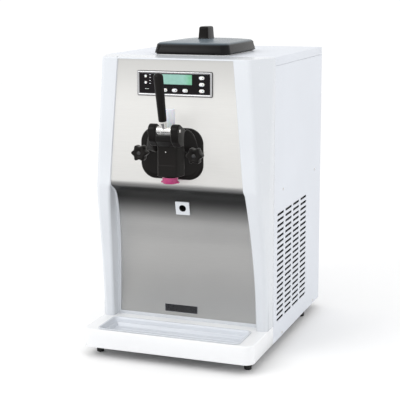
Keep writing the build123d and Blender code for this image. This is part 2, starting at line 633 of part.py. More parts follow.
CONDENSER_X = (-203.0, -171.0)
CONDENSER_DS, CONDENSER_HS = (40, 290), (22, 306)
with BuildPart() as condenser:
    condenser_y = [JOINT_Y + d for d in CONDENSER_DS]
    condenser_z = [BASE_Z + h for h in CONDENSER_HS]
    block(CONDENSER_X, condenser_y, condenser_z)
    with BuildSketch(Plane.YZ.offset(CONDENSER_X[0])) as gaps:
        with Locations(((condenser_y[0] + condenser_y[1]) / 2, (condenser_z[0] + condenser_z[1]) / 2)):
            with GridLocations(10, 1, 22, 1):
                Rectangle(6, 252)
    extrude(gaps.sketch, amount=13, mode=Mode.SUBTRACT)
    block((CONDENSER_X[0] + 8, CONDENSER_X[1] - 6), (condenser_y[0] + 2, condenser_y[0] + 30), (PAN_Z[1], condenser_z[0]))
    block((CONDENSER_X[0] + 8, CONDENSER_X[1] - 6), (condenser_y[1] - 30, condenser_y[1] - 2), (PAN_Z[1], condenser_z[0]))
save(condenser, "condenser")

FAN_R = 92.0
FAN_PLACE = (JOINT_Y + FAN_D, BASE_Z + FAN_H)
SHROUD_X = (CONDENSER_X[1] + 2, CONDENSER_X[1] + 4)
FAN_X = (-155.0, -130.0)
MOTOR_X = (-122.0, -72.0)
with BuildPart() as fan_shroud:
    block(SHROUD_X, (FAN_PLACE[0] - 118, FAN_PLACE[0] + 118), (PAN_Z[1], FAN_PLACE[1] + 118))
    rod("x", FAN_PLACE, FAN_R + 5, (SHROUD_X[0] - 1, SHROUD_X[1] + 1), Mode.SUBTRACT)
    rod("x", FAN_PLACE, FAN_R + 7, (SHROUD_X[1], FAN_X[1]))
    rod("x", FAN_PLACE, FAN_R + 5, (SHROUD_X[1] - 1, FAN_X[1] + 1), Mode.SUBTRACT)
    for side in (-1, 1):
        arm = sorted((FAN_PLACE[0] + side * 28, FAN_PLACE[0] + side * (FAN_R + 6)))
        block((FAN_X[1] + 2, FAN_X[1] + 8), arm, (FAN_PLACE[1] - 6, FAN_PLACE[1] + 6))
        stub = sorted((FAN_PLACE[0] + side * (FAN_R + 5.2), FAN_PLACE[0] + side * (FAN_R + 6.8)))
        block((FAN_X[1] - 3, FAN_X[1] + 4), stub, (FAN_PLACE[1] - 6, FAN_PLACE[1] + 6))
save(fan_shroud, "fan_shroud")

with BuildPart() as fan_motor:
    rod("x", FAN_PLACE, 28, MOTOR_X)
    fillet(fan_motor.edges().filter_by(GeomType.CIRCLE), radius=4)
    rod("x", FAN_PLACE, PIN_R + RUNNING, (MOTOR_X[0] - 1, MOTOR_X[0] + 22), Mode.SUBTRACT)
save(fan_motor, "fan_motor")

with BuildPart() as condenser_fan:
    rod("x", FAN_PLACE, 24, FAN_X)
    rod("x", FAN_PLACE, PIN_R, (FAN_X[1], MOTOR_X[0] + 20))
    for blade in range(5):
        turn = Plane(origin=((FAN_X[0] + FAN_X[1]) / 2, *FAN_PLACE), x_dir=(0, 1, 0), z_dir=(1, 0, 0))
        with Locations(turn):
            with Locations(Location((0, 0, 0), (0, 0, 72 * blade))):
                with Locations(Location((56, 0, 0), (28, 0, 0))):
                    Box(FAN_R - 22, 42, 2.5)
save(condenser_fan, "condenser_fan")

PIPE_R = 4.0


def pipe(points, radius):
    """A bent copper pipe, solid, through the given corner points."""
    with BuildPart() as run:
        with BuildLine() as route:
            FilletPolyline(*points, radius=radius)
        with BuildSketch(Plane(origin=route.wires()[0] @ 0, z_dir=route.wires()[0] % 0)):
            Circle(PIPE_R)
        sweep()
    return run.part


with BuildPart() as refrigerant_pipes:
    top = BASE_Z + 199
    high = BASE_Z + 345
    discharge = [(COMPRESSOR_X, compressor_y - 15, top), (COMPRESSOR_X, compressor_y - 15, high)]
    discharge += [(CONDENSER_X[1] - 16, compressor_y - 15, high), (CONDENSER_X[1] - 16, compressor_y - 15, BASE_Z + 306)]
    add(pipe(discharge, 16))
    jacket = (40, compressor_y + 15, HEAD_Z - 62)
    suction = [jacket, (jacket[0], jacket[1], BASE_Z + 378), (COMPRESSOR_X, jacket[1], BASE_Z + 378)]
    add(pipe(suction + [(COMPRESSOR_X, jacket[1], top)], 14))
save(refrigerant_pipes, "refrigerant_pipes")

with BuildPart() as control_box:
    box_y = (JOINT_Y + 300, JOINT_Y + 392)
    block((40, 165), box_y, (BASE_Z + 110, BASE_Z + 300))
    block((42, 163), (box_y[0] + 2, box_y[1] + 1), (BASE_Z + 112, BASE_Z + 298), Mode.SUBTRACT)
    block((60, 145), (box_y[0] + 2, box_y[0] + 32), (BASE_Z + 140, BASE_Z + 190))
    rod("z", (100, box_y[0] + 40), 20, (BASE_Z + 205, BASE_Z + 285))
    block((95, 105), (box_y[0] + 2, box_y[0] + 30), (BASE_Z + 215, BASE_Z + 275))
    for foot_x in (50, 155):
        block((foot_x - 6, foot_x + 6), (box_y[0], box_y[0] + 2), (PAN_Z[1], BASE_Z + 110))
save(control_box, "control_box")

with BuildPart() as power_inlet:
    inlet_z = (BASE_Z + INLET_H - INLET_TALL / 2 - 1.5, BASE_Z + INLET_H + INLET_TALL / 2 + 1.5)
    inlet_x = (INLET_X - INLET_W / 2 - 1.5, INLET_X + INLET_W / 2 + 1.5)
    block(inlet_x, (BACK_Y - 26, BACK_Y), inlet_z)
    block((inlet_x[0] - 8, inlet_x[1] + 8), (BACK_Y, BACK_Y + SCREW_HEAD), (inlet_z[0] - 3, inlet_z[1] + 3))
    socket_x = (INLET_X - INLET_W / 2, INLET_X + INLET_W / 2)
    socket_z = (BASE_Z + INLET_H - INLET_TALL / 2, BASE_Z + INLET_H + INLET_TALL / 2)
    block(socket_x, (BACK_Y - 20, BACK_Y + 2), socket_z, Mode.SUBTRACT)
    for pin_x, pin_h in ((-7, -2), (0, 4), (7, -2)):
        block((INLET_X + pin_x - 1, INLET_X + pin_x + 1), (BACK_Y - 21, BACK_Y - 5),
              (BASE_Z + INLET_H + pin_h - 2, BASE_Z + INLET_H + pin_h + 2))
save(power_inlet, "power_inlet")

# ---- Dispensing head: plate, valve block, bridge and two ears that carry the lever ----
PLATE_Y = (FACE_Y - PLATE_T, FACE_Y - 0.5)
BLOCK_FRONT_Y = JOINT_Y - BLOCK_D
BLOCK_Z = (BASE_Z + 423, BASE_Z + 508)
BRIDGE_Y = JOINT_Y - 166.0
SPOUT_R = 15.0
PORT_Z = BASE_Z + 446

with BuildPart() as freezer_door:
    with BuildSketch(Plane.XZ.offset(-PLATE_Y[1])):
        with Locations((0, HEAD_Z)):
            RectangleRounded(PLATE_W, PLATE_H, PLATE_R)
    extrude(amount=PLATE_Y[1] - PLATE_Y[0])
    fillet(freezer_door.edges().group_by(Axis.Y)[0], radius=4)
    with BuildSketch(Plane.XY.offset(BLOCK_Z[0])):
        with BuildLine():
            Polyline((-31, PLATE_Y[0] + 5), (-31, PLATE_Y[0]), (-23.5, BLOCK_FRONT_Y), (23.5, BLOCK_FRONT_Y),
                     (31, PLATE_Y[0]), (31, PLATE_Y[0] + 5), close=True)
        make_face()
    extrude(amount=BLOCK_Z[1] - BLOCK_Z[0])
    with BuildSketch(Plane.YZ.offset(-EAR_OUT)) as ear_profile:
        with BuildLine():
            Polyline((PLATE_Y[0] + 5, BASE_Z + 496), (PIVOT_Y + 4, BASE_Z + 496), (BRIDGE_Y, BASE_Z + 506),
                     (BRIDGE_Y - 2, PIVOT_Z), (PIVOT_Y, PIVOT_Z + 14), (PIVOT_Y + 16, PIVOT_Z + 8),
                     (PLATE_Y[0] + 5, BASE_Z + 526), close=True)
        make_face()
        with Locations((PIVOT_Y, PIVOT_Z)):
            Circle(15)
    extrude(ear_profile.sketch, amount=2 * EAR_OUT)
    block((-EAR_IN, EAR_IN), (BRIDGE_Y - 30, PIVOT_Y + 10), (BASE_Z + 524, TOP_Z), Mode.SUBTRACT)
    block((-EAR_IN, EAR_IN), (PIVOT_Y + 10, PLATE_Y[0]), (BLOCK_Z[1], TOP_Z), Mode.SUBTRACT)
    rod("z", (0, SPOUT_Y), SPOUT_R + 4.2, (BLOCK_Z[0] - 20, BLOCK_Z[0]), Mode.SUBTRACT)
    rod("z", (0, SPOUT_Y), SPOUT_R, (BLOCK_Z[0] - 12, BLOCK_Z[0] + 1))
    rod("z", (0, SPOUT_Y), BORE_R, (BLOCK_Z[0] - 13, BLOCK_Z[1] + 1), Mode.SUBTRACT)
    rod("x", (PIVOT_Y, PIVOT_Z), PIN_R + RUNNING, (-EAR_OUT - 3, EAR_OUT + 3), Mode.SUBTRACT)
    rod("y", (0, PORT_Z), 6, (SPOUT_Y, PLATE_Y[1] + 1), Mode.SUBTRACT)
    rod("y", (0, HEAD_Z), NOSE_R + RUNNING, (PLATE_Y[1] - 8, PLATE_Y[1] + 1), Mode.SUBTRACT)
    for side in (-1, 1):
        rod("y", (side * STUD_X, BASE_Z + STUD_H), STUD_R + 0.5, (PLATE_Y[0] - 1, PLATE_Y[1] + 1), Mode.SUBTRACT)
save(freezer_door, "freezer_door")

STUD_TIP_Y = FACE_Y - 50
with BuildPart() as door_studs:
    for side in (-1, 1):
        rod("y", (side * STUD_X, BASE_Z + STUD_H), STUD_R, (STUD_TIP_Y, BULK_Y[0]))
save(door_studs, "door_studs")

KNOB_Y = (FACE_Y - 57, PLATE_Y[0] - 0.5)


def star_knob(side, name):
    """A lobed hand knob on a door stud."""
    centre = (side * STUD_X, BASE_Z + STUD_H)
    with BuildPart() as knob:
        rod("y", centre, 15.5, (KNOB_Y[0], KNOB_Y[0] + 24))
        with BuildSketch(Plane.XZ.offset(-KNOB_Y[0] - 22)) as lobes:
            with Locations(centre):
                with PolarLocations(14.5, KNOB_LOBES):
                    Circle(5.6)
        extrude(lobes.sketch, amount=20)
        rod("y", centre, 10, (KNOB_Y[0] + 20, KNOB_Y[1]))
        rod("y", centre, STUD_R + RUNNING, (STUD_TIP_Y - 0.5, KNOB_Y[1] + 1), Mode.SUBTRACT)
    save(knob, name)


star_knob(-1, "star_knob_left")
star_knob(1, "star_knob_right")

# ---- Plunger with its seal rings, and the nozzle cap under the spout ----
PLUNGER_Z = (BASE_Z + 430, BASE_Z + 580)
TIP_Y = PIVOT_Y + TIP_ARM * cos(radians(TIP_REST_DEG))
TIP_Z = PIVOT_Z + TIP_ARM * sin(radians(TIP_REST_DEG))
SLOT_HALF = TIP_R + 0.4
RING_STATIONS = [BASE_Z + h for h in (434, 460, 492)]
RING_GROOVE_R = 10.8

with BuildPart() as plunger:
    rod("z", (0, SPOUT_Y), PLUNGER_R, PLUNGER_Z)
    chamfer(plunger.edges().group_by(Axis.Z)[-1], length=0.8)
    with BuildSketch(Plane.YZ.offset(-7)) as slot:
        with BuildLine():
            mouth = SPOUT_Y - PLUNGER_R - 1
            inner = SPOUT_Y + TIP_R + 0.8
            Polyline((inner, TIP_Z - SLOT_HALF), (inner, TIP_Z + SLOT_HALF), (TIP_Y - 3, TIP_Z + SLOT_HALF),
                     (mouth, TIP_Z + SLOT_HALF + 6), (mouth, TIP_Z - SLOT_HALF - 6),
                     (TIP_Y - 3, TIP_Z - SLOT_HALF), close=True)
        make_face()
    extrude(slot.sketch, amount=14, mode=Mode.SUBTRACT)
    for station in RING_STATIONS:
        with Locations((0, SPOUT_Y, station)):
            Cylinder(PLUNGER_R + 1, 3.2, mode=Mode.SUBTRACT)
        with Locations((0, SPOUT_Y, station)):
            Cylinder(RING_GROOVE_R, 3.4)
save(plunger, "plunger")

with BuildPart() as plunger_rings:
    for station in RING_STATIONS:
        with Locations((0, SPOUT_Y, station)):
            Cylinder(BORE_R - RUNNING, 3)
            Cylinder(RING_GROOVE_R, 4, mode=Mode.SUBTRACT)
save(plunger_rings, "plunger_rings")

CAP_Z = (BASE_Z + 406, BASE_Z + 421)
with BuildPart() as nozzle_cap:
    rod("z", (0, SPOUT_Y), SPOUT_R + 3.5, CAP_Z)
    chamfer(nozzle_cap.edges().group_by(Axis.Z)[0], length=2)
    for side in (-1, 1):
        block(sorted((side * 17, side * 22)), (SPOUT_Y - 4, SPOUT_Y + 4), (CAP_Z[0] + 1, CAP_Z[0] + 5.5))
    rod("z", (0, SPOUT_Y), SPOUT_R + RUNNING, (CAP_Z[0] + 4, CAP_Z[1] + 1), Mode.SUBTRACT)
    with BuildSketch(Plane.XY.offset(CAP_Z[0] - 1)) as star:
        with Locations((0, SPOUT_Y)):
            Circle(6.5)
            with PolarLocations(7.5, 6):
                Circle(2.2)
    extrude(star.sketch, amount=8, mode=Mode.SUBTRACT)
save(nozzle_cap, "nozzle_cap")

# ---- Draw lever: hub between the ears, steel stem, black grip, and its pin ----
HUB_R = 9.0
STEM_TOP = (JOINT_Y - 168.5, BASE_Z + 556)
GRIP_TOP = (JOINT_Y - 193.5, BASE_Z + 668)

with BuildPart() as lever_hub:
    rod("x", (PIVOT_Y, PIVOT_Z), HUB_R, (-EAR_IN + 0.4, EAR_IN - 0.4))
    with Locations(Location(((0, (PIVOT_Y + TIP_Y) / 2, (PIVOT_Z + TIP_Z) / 2)), (TIP_REST_DEG, 0, 0))):
        Box(8, TIP_ARM, 5)
    rod("x", (TIP_Y, TIP_Z), TIP_R, (-5, 5))
    rod("x", (PIVOT_Y, PIVOT_Z), PIN_R, (-EAR_IN, EAR_IN), Mode.SUBTRACT)
save(lever_hub, "lever_hub")

stem_plane = Plane(origin=(0, PIVOT_Y, PIVOT_Z), x_dir=(1, 0, 0),
                   z_dir=(0, STEM_TOP[0] - PIVOT_Y, STEM_TOP[1] - PIVOT_Z))
stem_length = Vector(0, STEM_TOP[0] - PIVOT_Y, STEM_TOP[1] - PIVOT_Z).length
with BuildPart() as lever_stem:
    with BuildSketch(stem_plane.offset(7)):
        Circle(6.5)
    with BuildSketch(stem_plane.offset(stem_length)):
        Circle(7.2)
    loft()
    rod("x", (PIVOT_Y, PIVOT_Z), HUB_R, (-20, 20), Mode.SUBTRACT)
save(lever_stem, "lever_stem")

grip_axis = (0, GRIP_TOP[0] - STEM_TOP[0], GRIP_TOP[1] - STEM_TOP[1])
grip_length = Vector(*grip_axis).length
grip_plane = Plane(origin=(0, *STEM_TOP), x_dir=(1, 0, 0), z_dir=grip_axis)
with BuildPart() as lever_grip:
    for share, radius in ((0.04, 7.4), (0.45, 8.6), (1.0, 10.2)):
        with BuildSketch(grip_plane.offset(share * grip_length)):
            Circle(radius)
    loft()
    fillet(lever_grip.faces().sort_by(Axis.Z)[-1].edges(), radius=6)
    stem_shadow = stem_plane.offset(stem_length + 0.1)
    split(bisect_by=stem_shadow, keep=Keep.TOP)
save(lever_grip, "lever_grip")

with BuildPart() as pivot_pin:
    rod("x", (PIVOT_Y, PIVOT_Z), PIN_R, (-EAR_OUT - 1, EAR_OUT + 1))
save(pivot_pin, "pivot_pin")

# ---- Hopper lid: a crowned cap with a locating skirt and pads, and its bar knob ----
LID_Z = (TOP_Z + 4, TOP_Z + 29, TOP_Z + 35.6)
LID_DS = (6.0, 234.0)
LID_Y = JOINT_Y + (LID_DS[0] + LID_DS[1]) / 2
LID_L = LID_DS[1] - LID_DS[0]

with BuildPart() as hopper_lid:
    for level, width, length, radius in ((LID_Z[0], 194, LID_L, 20), (LID_Z[1], 183, LID_L - 11, 18)):
        with BuildSketch(Plane.XY.offset(level)):
            with Locations((0, LID_Y)):
                RectangleRounded(width, length, radius)
    loft(ruled=True)
    for level, width, length, radius in ((LID_Z[1], 175, LID_L - 19, 15), (LID_Z[2], 40, 70, 8)):
        with BuildSketch(Plane.XY.offset(level)):
            with Locations((0, LID_Y)):
                RectangleRounded(width, length, radius)
    loft(ruled=True)
    for width, length, mode in ((158, 194, Mode.ADD), (152, 188, Mode.SUBTRACT)):
        with BuildSketch(Plane.XY.offset(TOP_Z - 8)) as skirt:
            with Locations((0, LID_Y)):
                RectangleRounded(width, length, 14)
        extrude(skirt.sketch, amount=LID_Z[0] - TOP_Z + (8 if mode == Mode.ADD else 20), mode=mode)
    with Locations((0, LID_Y, (TOP_Z + SHEET + 0.4 + LID_Z[0]) / 2)):
        with GridLocations(176, 200, 2, 2):
            Cylinder(4, LID_Z[0] - TOP_Z - SHEET - 0.4)
save(hopper_lid, "hopper_lid")

LID_KNOB_Y = (JOINT_Y + 96, JOINT_Y + 146)
with BuildPart() as lid_knob:
    knob_middle = (LID_KNOB_Y[0] + LID_KNOB_Y[1]) / 2
    for level, width, length in ((LID_Z[2], 22, 50), (LID_Z[2] + 9, 20, 46), (LID_Z[2] + 31.4, 23, 50)):
        with BuildSketch(Plane.XY.offset(level)):
            with Locations((0, knob_middle)):
                RectangleRounded(width, length, 6)
    loft(ruled=True)
    fillet(lid_knob.edges().group_by(Axis.Z)[-1], radius=4)
save(lid_knob, "lid_knob")

# ---- Display: chrome frame, black face, liquid-crystal window and push buttons ----
FACE_INNER_W, FACE_INNER_H = DISPLAY_W - 2 * FRAME_BAND, DISPLAY_TALL - 2 * FRAME_BAND
STEEL_Y = FACE_Y + LIP
PANEL_FACE_Y = STEEL_Y - 3.2
BUTTON_TRAVEL = 1.0

with BuildPart() as display_bezel:
    with BuildSketch(Plane.XZ.offset(-STEEL_Y + 0.1)):
        with Locations((0, BASE_Z + DISPLAY_H)):
            RectangleRounded(DISPLAY_W, DISPLAY_TALL, 3)
            RectangleRounded(FACE_INNER_W, FACE_INNER_H, 1.5, mode=Mode.SUBTRACT)
    extrude(amount=4.8)
    chamfer(display_bezel.edges().group_by(Axis.Y)[0], length=0.8)
save(display_bezel, "display_bezel")

LCD_X, LCD_HS = (-50.0, 44.0), (633.5, 657.0)
lcd_z = [BASE_Z + h for h in LCD_HS]


def button_outlines(grow):
    """The oval outlines of all the buttons, on the current sketch."""
    with Locations([(x, BASE_Z + h) for x, h in BUTTONS.values()]):
        SlotOverall(BUTTON_L + 2 * grow, BUTTON_W + 2 * grow)


with BuildPart() as display_panel:
    with BuildSketch(Plane.XZ.offset(-STEEL_Y + 0.1)):
        with Locations((0, BASE_Z + DISPLAY_H)):
            RectangleRounded(FACE_INNER_W - 0.2, FACE_INNER_H - 0.2, 1.5)
    extrude(amount=STEEL_Y - 0.1 - PANEL_FACE_Y)
    block((-84, 84), (STEEL_Y - 0.2, STEEL_Y + 14), (BASE_Z + DISPLAY_H - 20, BASE_Z + DISPLAY_H + 20))
    block(LCD_X, (PANEL_FACE_Y - 1, PANEL_FACE_Y + 1.5), lcd_z, Mode.SUBTRACT)
    with BuildSketch(Plane.XZ.offset(-PANEL_FACE_Y - 7)) as button_holes:
        button_outlines(0.4)
    extrude(button_holes.sketch, amount=10, mode=Mode.SUBTRACT)
save(display_panel, "display_panel")

with BuildPart() as lcd_window:
    block(LCD_X, (PANEL_FACE_Y + 0.4, PANEL_FACE_Y + 1.5), lcd_z)
save(lcd_window, "lcd_window")

for button_name, (button_x, button_h) in BUTTONS.items():
    with BuildPart() as button:
        with BuildSketch(Plane.XZ.offset(-PANEL_FACE_Y - 5)):
            with Locations((button_x, BASE_Z + button_h)):
                SlotOverall(BUTTON_L, BUTTON_W)
        extrude(amount=6.8)
        fillet(button.edges().group_by(Axis.Y)[0], radius=0.8)
    save(button, button_name)
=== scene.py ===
"""Looks for a countertop soft serve freezer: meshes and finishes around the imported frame."""

import json
import logging
import math
from dataclasses import dataclass
from enum import Enum
from typing import Any, Iterable, Sequence, Union

import bmesh
import bpy
import numpy as np
from mathutils import Matrix, Vector

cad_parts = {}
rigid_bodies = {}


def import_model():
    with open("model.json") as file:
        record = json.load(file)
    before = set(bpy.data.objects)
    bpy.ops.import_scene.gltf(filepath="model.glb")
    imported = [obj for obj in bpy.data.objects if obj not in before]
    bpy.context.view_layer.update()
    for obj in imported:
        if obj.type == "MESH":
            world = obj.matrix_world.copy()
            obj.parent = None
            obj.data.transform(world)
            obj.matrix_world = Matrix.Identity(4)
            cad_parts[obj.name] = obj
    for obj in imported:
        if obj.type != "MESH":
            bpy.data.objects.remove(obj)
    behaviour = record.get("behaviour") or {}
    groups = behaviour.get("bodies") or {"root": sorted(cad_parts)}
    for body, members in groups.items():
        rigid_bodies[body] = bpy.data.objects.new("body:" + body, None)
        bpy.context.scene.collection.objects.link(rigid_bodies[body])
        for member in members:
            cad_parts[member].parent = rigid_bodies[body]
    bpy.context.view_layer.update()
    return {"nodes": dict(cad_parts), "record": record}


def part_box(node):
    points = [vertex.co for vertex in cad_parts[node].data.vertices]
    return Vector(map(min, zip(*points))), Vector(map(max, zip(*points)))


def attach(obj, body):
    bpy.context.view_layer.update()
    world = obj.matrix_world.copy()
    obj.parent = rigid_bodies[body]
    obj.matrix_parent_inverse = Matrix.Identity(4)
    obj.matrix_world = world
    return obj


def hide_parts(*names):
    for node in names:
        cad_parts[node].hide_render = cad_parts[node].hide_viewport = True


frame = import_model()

LOG = logging.getLogger("soft_serve")
MM = 0.001
SMOOTH_ANGLE = math.radians(38)
Point = Sequence[float]
Ring = list[Vector]
Value = Union["Socket", float, Sequence[float]]


class Body(Enum):
    """The CAD bodies that pieces ride on."""

    CABINET = "cabinet"
    LEVER = "lever"
    PLUNGER = "plunger"
    NOZZLE = "nozzle"
    KNOB_LEFT = "knob_left"
    KNOB_RIGHT = "knob_right"
    FAN = "fan"
    LID = "lid"
    TRAY = "tray"


class Slot(Enum):
    """The record's material slots."""

    WHITE_MOULDING = "white_moulding"
    WHITE_PAINT = "white_paint"
    BRUSHED_PANEL = "brushed_panel"
    BLACK_MOULDING = "black_moulding"
    DISPLAY_BLACK = "display_black"
    DISPLAY_GREEN = "display_green"
    CHROME_TRIM = "chrome_trim"
    BUTTON_WHITE = "button_white"
    BADGE_DARK = "badge_dark"
    MAGENTA_NOZZLE = "magenta_nozzle"
    WHITE_ACETAL = "white_acetal"
    POLISHED_STEEL = "polished_steel"
    GALVANISED = "galvanised"
    FOAM = "foam"
    RUBBER_BLACK = "rubber_black"
    CAST_HOUSING = "cast_housing"
    MOTOR_PAINT = "motor_paint"
    ALUMINIUM_FIN = "aluminium_fin"
    COPPER = "copper"
    BLACK_INLET = "black_inlet"


class Axis(Enum):
    """An axis of the row frame."""

    X = 0
    Y = 1
    Z = 2

    def place(self, across: float, up: float, along: float) -> Vector:
        """A point from two coordinates in XYZ order and one along this axis."""
        rest = [across, up]
        rest.insert(self.value, along)
        return Vector(rest)


# ---------------------------------------------------------------- shader tools


class Socket:
    """An output socket that arithmetic works on, adding Math nodes as it goes."""

    def __init__(self, board: "Board", output: bpy.types.NodeSocket) -> None:
        """Keeps the board that new nodes go to and the output itself."""
        self.board = board
        self.output = output

    def _math(self, operation: str, first: Value, second: Value = 0.0) -> "Socket":
        """One Math node on two values."""
        made = self.board.node("ShaderNodeMath", {"operation": operation}, {0: first, 1: second})
        return made.out(0)

    def __add__(self, other: Value) -> "Socket":
        """self + other."""
        return self._math("ADD", self, other)

    __radd__ = __add__

    def __mul__(self, other: Value) -> "Socket":
        """self * other."""
        return self._math("MULTIPLY", self, other)

    __rmul__ = __mul__

    def __sub__(self, other: Value) -> "Socket":
        """self - other."""
        return self._math("SUBTRACT", self, other)

    def __rsub__(self, other: Value) -> "Socket":
        """other - self."""
        return self._math("SUBTRACT", other, self)

    def __truediv__(self, other: Value) -> "Socket":
        """self / other."""
        return self._math("DIVIDE", self, other)

    def __rtruediv__(self, other: Value) -> "Socket":
        """other / self."""
        return self._math("DIVIDE", other, self)

    def __pow__(self, other: Value) -> "Socket":
        """self to a power."""
        return self._math("POWER", self, other)

    def clamp(self) -> "Socket":
        """The value held between 0 and 1."""
        made = self.board.node("ShaderNodeClamp", {}, {"Value": self})
        return made.out(0)

    def band(self, low: float, high: float) -> "Socket":
        """0 below low, 1 above high, smooth between.

        Args:
            low: value where the step starts.
            high: value where the step ends.

        Returns:
            The smooth step.
        """
        ranges = {"From Min": low, "From Max": high, "To Min": 0.0, "To Max": 1.0}
        made = self.board.node(
            "ShaderNodeMapRange", {"interpolation_type": "SMOOTHSTEP"}, {"Value": self, **ranges}
        )
        return made.out(0)


class Made:
    """A node that has been added."""

    def __init__(self, board: "Board", node: bpy.types.Node) -> None:
        """Keeps the node and its board."""
        self.board = board
        self.node = node

    def out(self, name: Union[str, int]) -> Socket:
        """The output with that name or number."""
        return Socket(self.board, self.node.outputs[name])


class Board:
    """A node tree with one way to add nodes."""

    def __init__(self, tree: bpy.types.NodeTree) -> None:
        """Starts on an empty tree."""
        self.tree = tree
        tree.nodes.clear()

    def node(self, kind: str, settings: dict[str, Any], inputs: dict[Union[str, int], Value]) -> Made:
        """Adds a node.

        Args:
            kind: the node's type name.
            settings: its properties, and "stops" for a ramp, set before the inputs.
            inputs: values or links by socket name or number.

        Returns:
            The node, wrapped.
        """
        node = self.tree.nodes.new(kind)
        for key, value in settings.items():
            if key == "stops":
                self._stops(node, value)
            else:
                setattr(node, key, value)
        for key, value in inputs.items():
            if isinstance(value, Socket):
                self.tree.links.new(value.output, node.inputs[key])
            elif value is not None:
                node.inputs[key].default_value = value
        return Made(self, node)

    @staticmethod
    def _stops(node: bpy.types.Node, stops: Sequence[tuple[float, Point]]) -> None:
        """Sets a ramp's stops.

        Args:
            node: the ramp node.
            stops: (place, colour) pairs.
        """
        elements = node.color_ramp.elements
        while len(elements) < len(stops):
            elements.new(0.5)
        for element, (position, colour) in zip(elements, stops):
            element.position = position
            element.color = (*colour, 1.0)

    def place(self, scale: Point = (1, 1, 1), shift: Point = (0, 0, 0)) -> Socket:
        """Object coordinates, shifted and scaled."""
        spot = self.node("ShaderNodeTexCoord", {}, {}).out("Object")
        return self.node("ShaderNodeMapping", {}, {"Vector": spot, "Location": shift, "Scale": scale}).out(0)

    def noise(
        self, scale: float, stretch: Point = (1, 1, 1), detail: float = 2.0, rough: float = 0.5
    ) -> Socket:
        """Noise from 0 to 1 in Object coordinates; scale is in cells per metre."""
        inputs = {"Vector": self.place(stretch), "Scale": scale, "Detail": detail, "Roughness": rough}
        return self.node("ShaderNodeTexNoise", {}, inputs).out("Fac")

    def blend(self, share: Value, low: Value, high: Value) -> Socket:
        """Mixes two colours by share."""
        pair = {"Factor": share, 6: self._rgba(low), 7: self._rgba(high)}
        made = self.node("ShaderNodeMix", {"data_type": "RGBA"}, pair)
        return made.out(2)

    @staticmethod
    def _rgba(colour: Value) -> Value:
        """A colour with its alpha, or the socket as it is."""
        return colour if isinstance(colour, Socket) else (*colour, 1.0)

    def bump(self, height: Socket, depth_mm: float, strength: float = 1.0) -> Socket:
        """A Bump node; depth_mm is how deep the relief reads."""
        inputs = {"Height": height, "Distance": depth_mm * MM, "Strength": strength}
        return self.node("ShaderNodeBump", {}, inputs).out(0)


@dataclass(frozen=True)
class Finish:
    """What every finish has: a slot, a colour and the shader's constant sockets."""

    slot: Slot
    colour: tuple[float, float, float]
    rough: float = 0.4
    metallic: float = 0.0
    specular: float = 0.5
    coat: float = 0.0
    ior: float = 1.5

    def material(self) -> bpy.types.Material:
        """Builds the material.

        Returns:
            The finished material, named after its slot.
        """
        made = bpy.data.materials.new(self.slot.value)
        made.use_nodes = True
        made.diffuse_color = (*self.colour, 1.0)
        board = Board(made.node_tree)
        constant = {
            "Metallic": self.metallic,
            "Specular IOR Level": self.specular,
            "Coat Weight": self.coat,
            "Coat Roughness": 0.08,
            "IOR": self.ior,
        }
        constant.update(self.constants())
        varied = self.surface(board)
        shader = board.node("ShaderNodeBsdfPrincipled", {}, {**constant, **varied})
        board.node("ShaderNodeOutputMaterial", {}, {"Surface": shader.out(0)})
        return made

    def constants(self) -> dict[str, Value]:
        """Sockets that are the same all over and differ from the usual ones."""
        return {}

    def surface(self, board: Board) -> dict[str, Value]:
        """Colour, roughness and relief over the surface."""
        raise NotImplementedError


@dataclass(frozen=True)
class Moulded(Finish):
    """Moulded plastic: soft mottling, a fine grain and slight waviness of the gloss."""

    grain: float = 1400.0
    relief: float = 0.02
    mottle: float = 0.03
    glow: float = 0.0

    def constants(self) -> dict[str, Value]:
        """Light scatters a little inside pale plastics."""
        if not self.glow:
            return {}
        return {"Subsurface Weight": self.glow, "Subsurface Scale": 0.004}

    def surface(self, board: Board) -> dict[str, Value]:
        """A tone that drifts over 100 mm, with a grain of under a millimetre.

        Args:
            board: the tree that the nodes go into.

        Returns:
            The values of the shader's varying sockets.
        """
        drift = board.noise(9.0, detail=3.0)
        grain = board.noise(self.grain, detail=1.0)
        haze = board.noise(45.0, detail=4.0)
        dark = tuple(c * (1 - self.mottle) for c in self.colour)
        light = tuple(min(1.0, c * (1 + self.mottle)) for c in self.colour)
        colour = board.blend(drift.band(0.3, 0.7), dark, light)
        rough = haze * (0.25 * self.rough) + grain * (0.1 * self.rough) + self.rough * 0.82
        relief = board.bump(grain + haze * 0.6, self.relief)
        return {"Base Color": colour, "Roughness": rough, "Normal": relief}


@dataclass(frozen=True)
class Painted(Finish):
    """Powder coat or stove paint on sheet metal: orange peel and dust-fine speckle."""

    peel: float = 420.0
    depth: float = 0.05

    def surface(self, board: Board) -> dict[str, Value]:
        """Orange peel a couple of millimetres across.

        Args:
            board: the tree that the nodes go into.

        Returns:
            The values of the shader's varying sockets.
        """
        peel = board.noise(self.peel, detail=2.0)
        speck = board.noise(2600.0, detail=0.0)
        drift = board.noise(6.0, detail=2.0)
        dull = tuple(c * 0.965 for c in self.colour)
        colour = board.blend(drift.band(0.25, 0.75), dull, self.colour)
        fleck = board.blend(speck.band(0.68, 0.8) * 0.25, colour, tuple(c * 0.9 for c in self.colour))
        rough = peel * 0.1 + drift * 0.06 + (self.rough - 0.06)
        return {"Base Color": fleck, "Roughness": rough, "Normal": board.bump(peel, self.depth)}


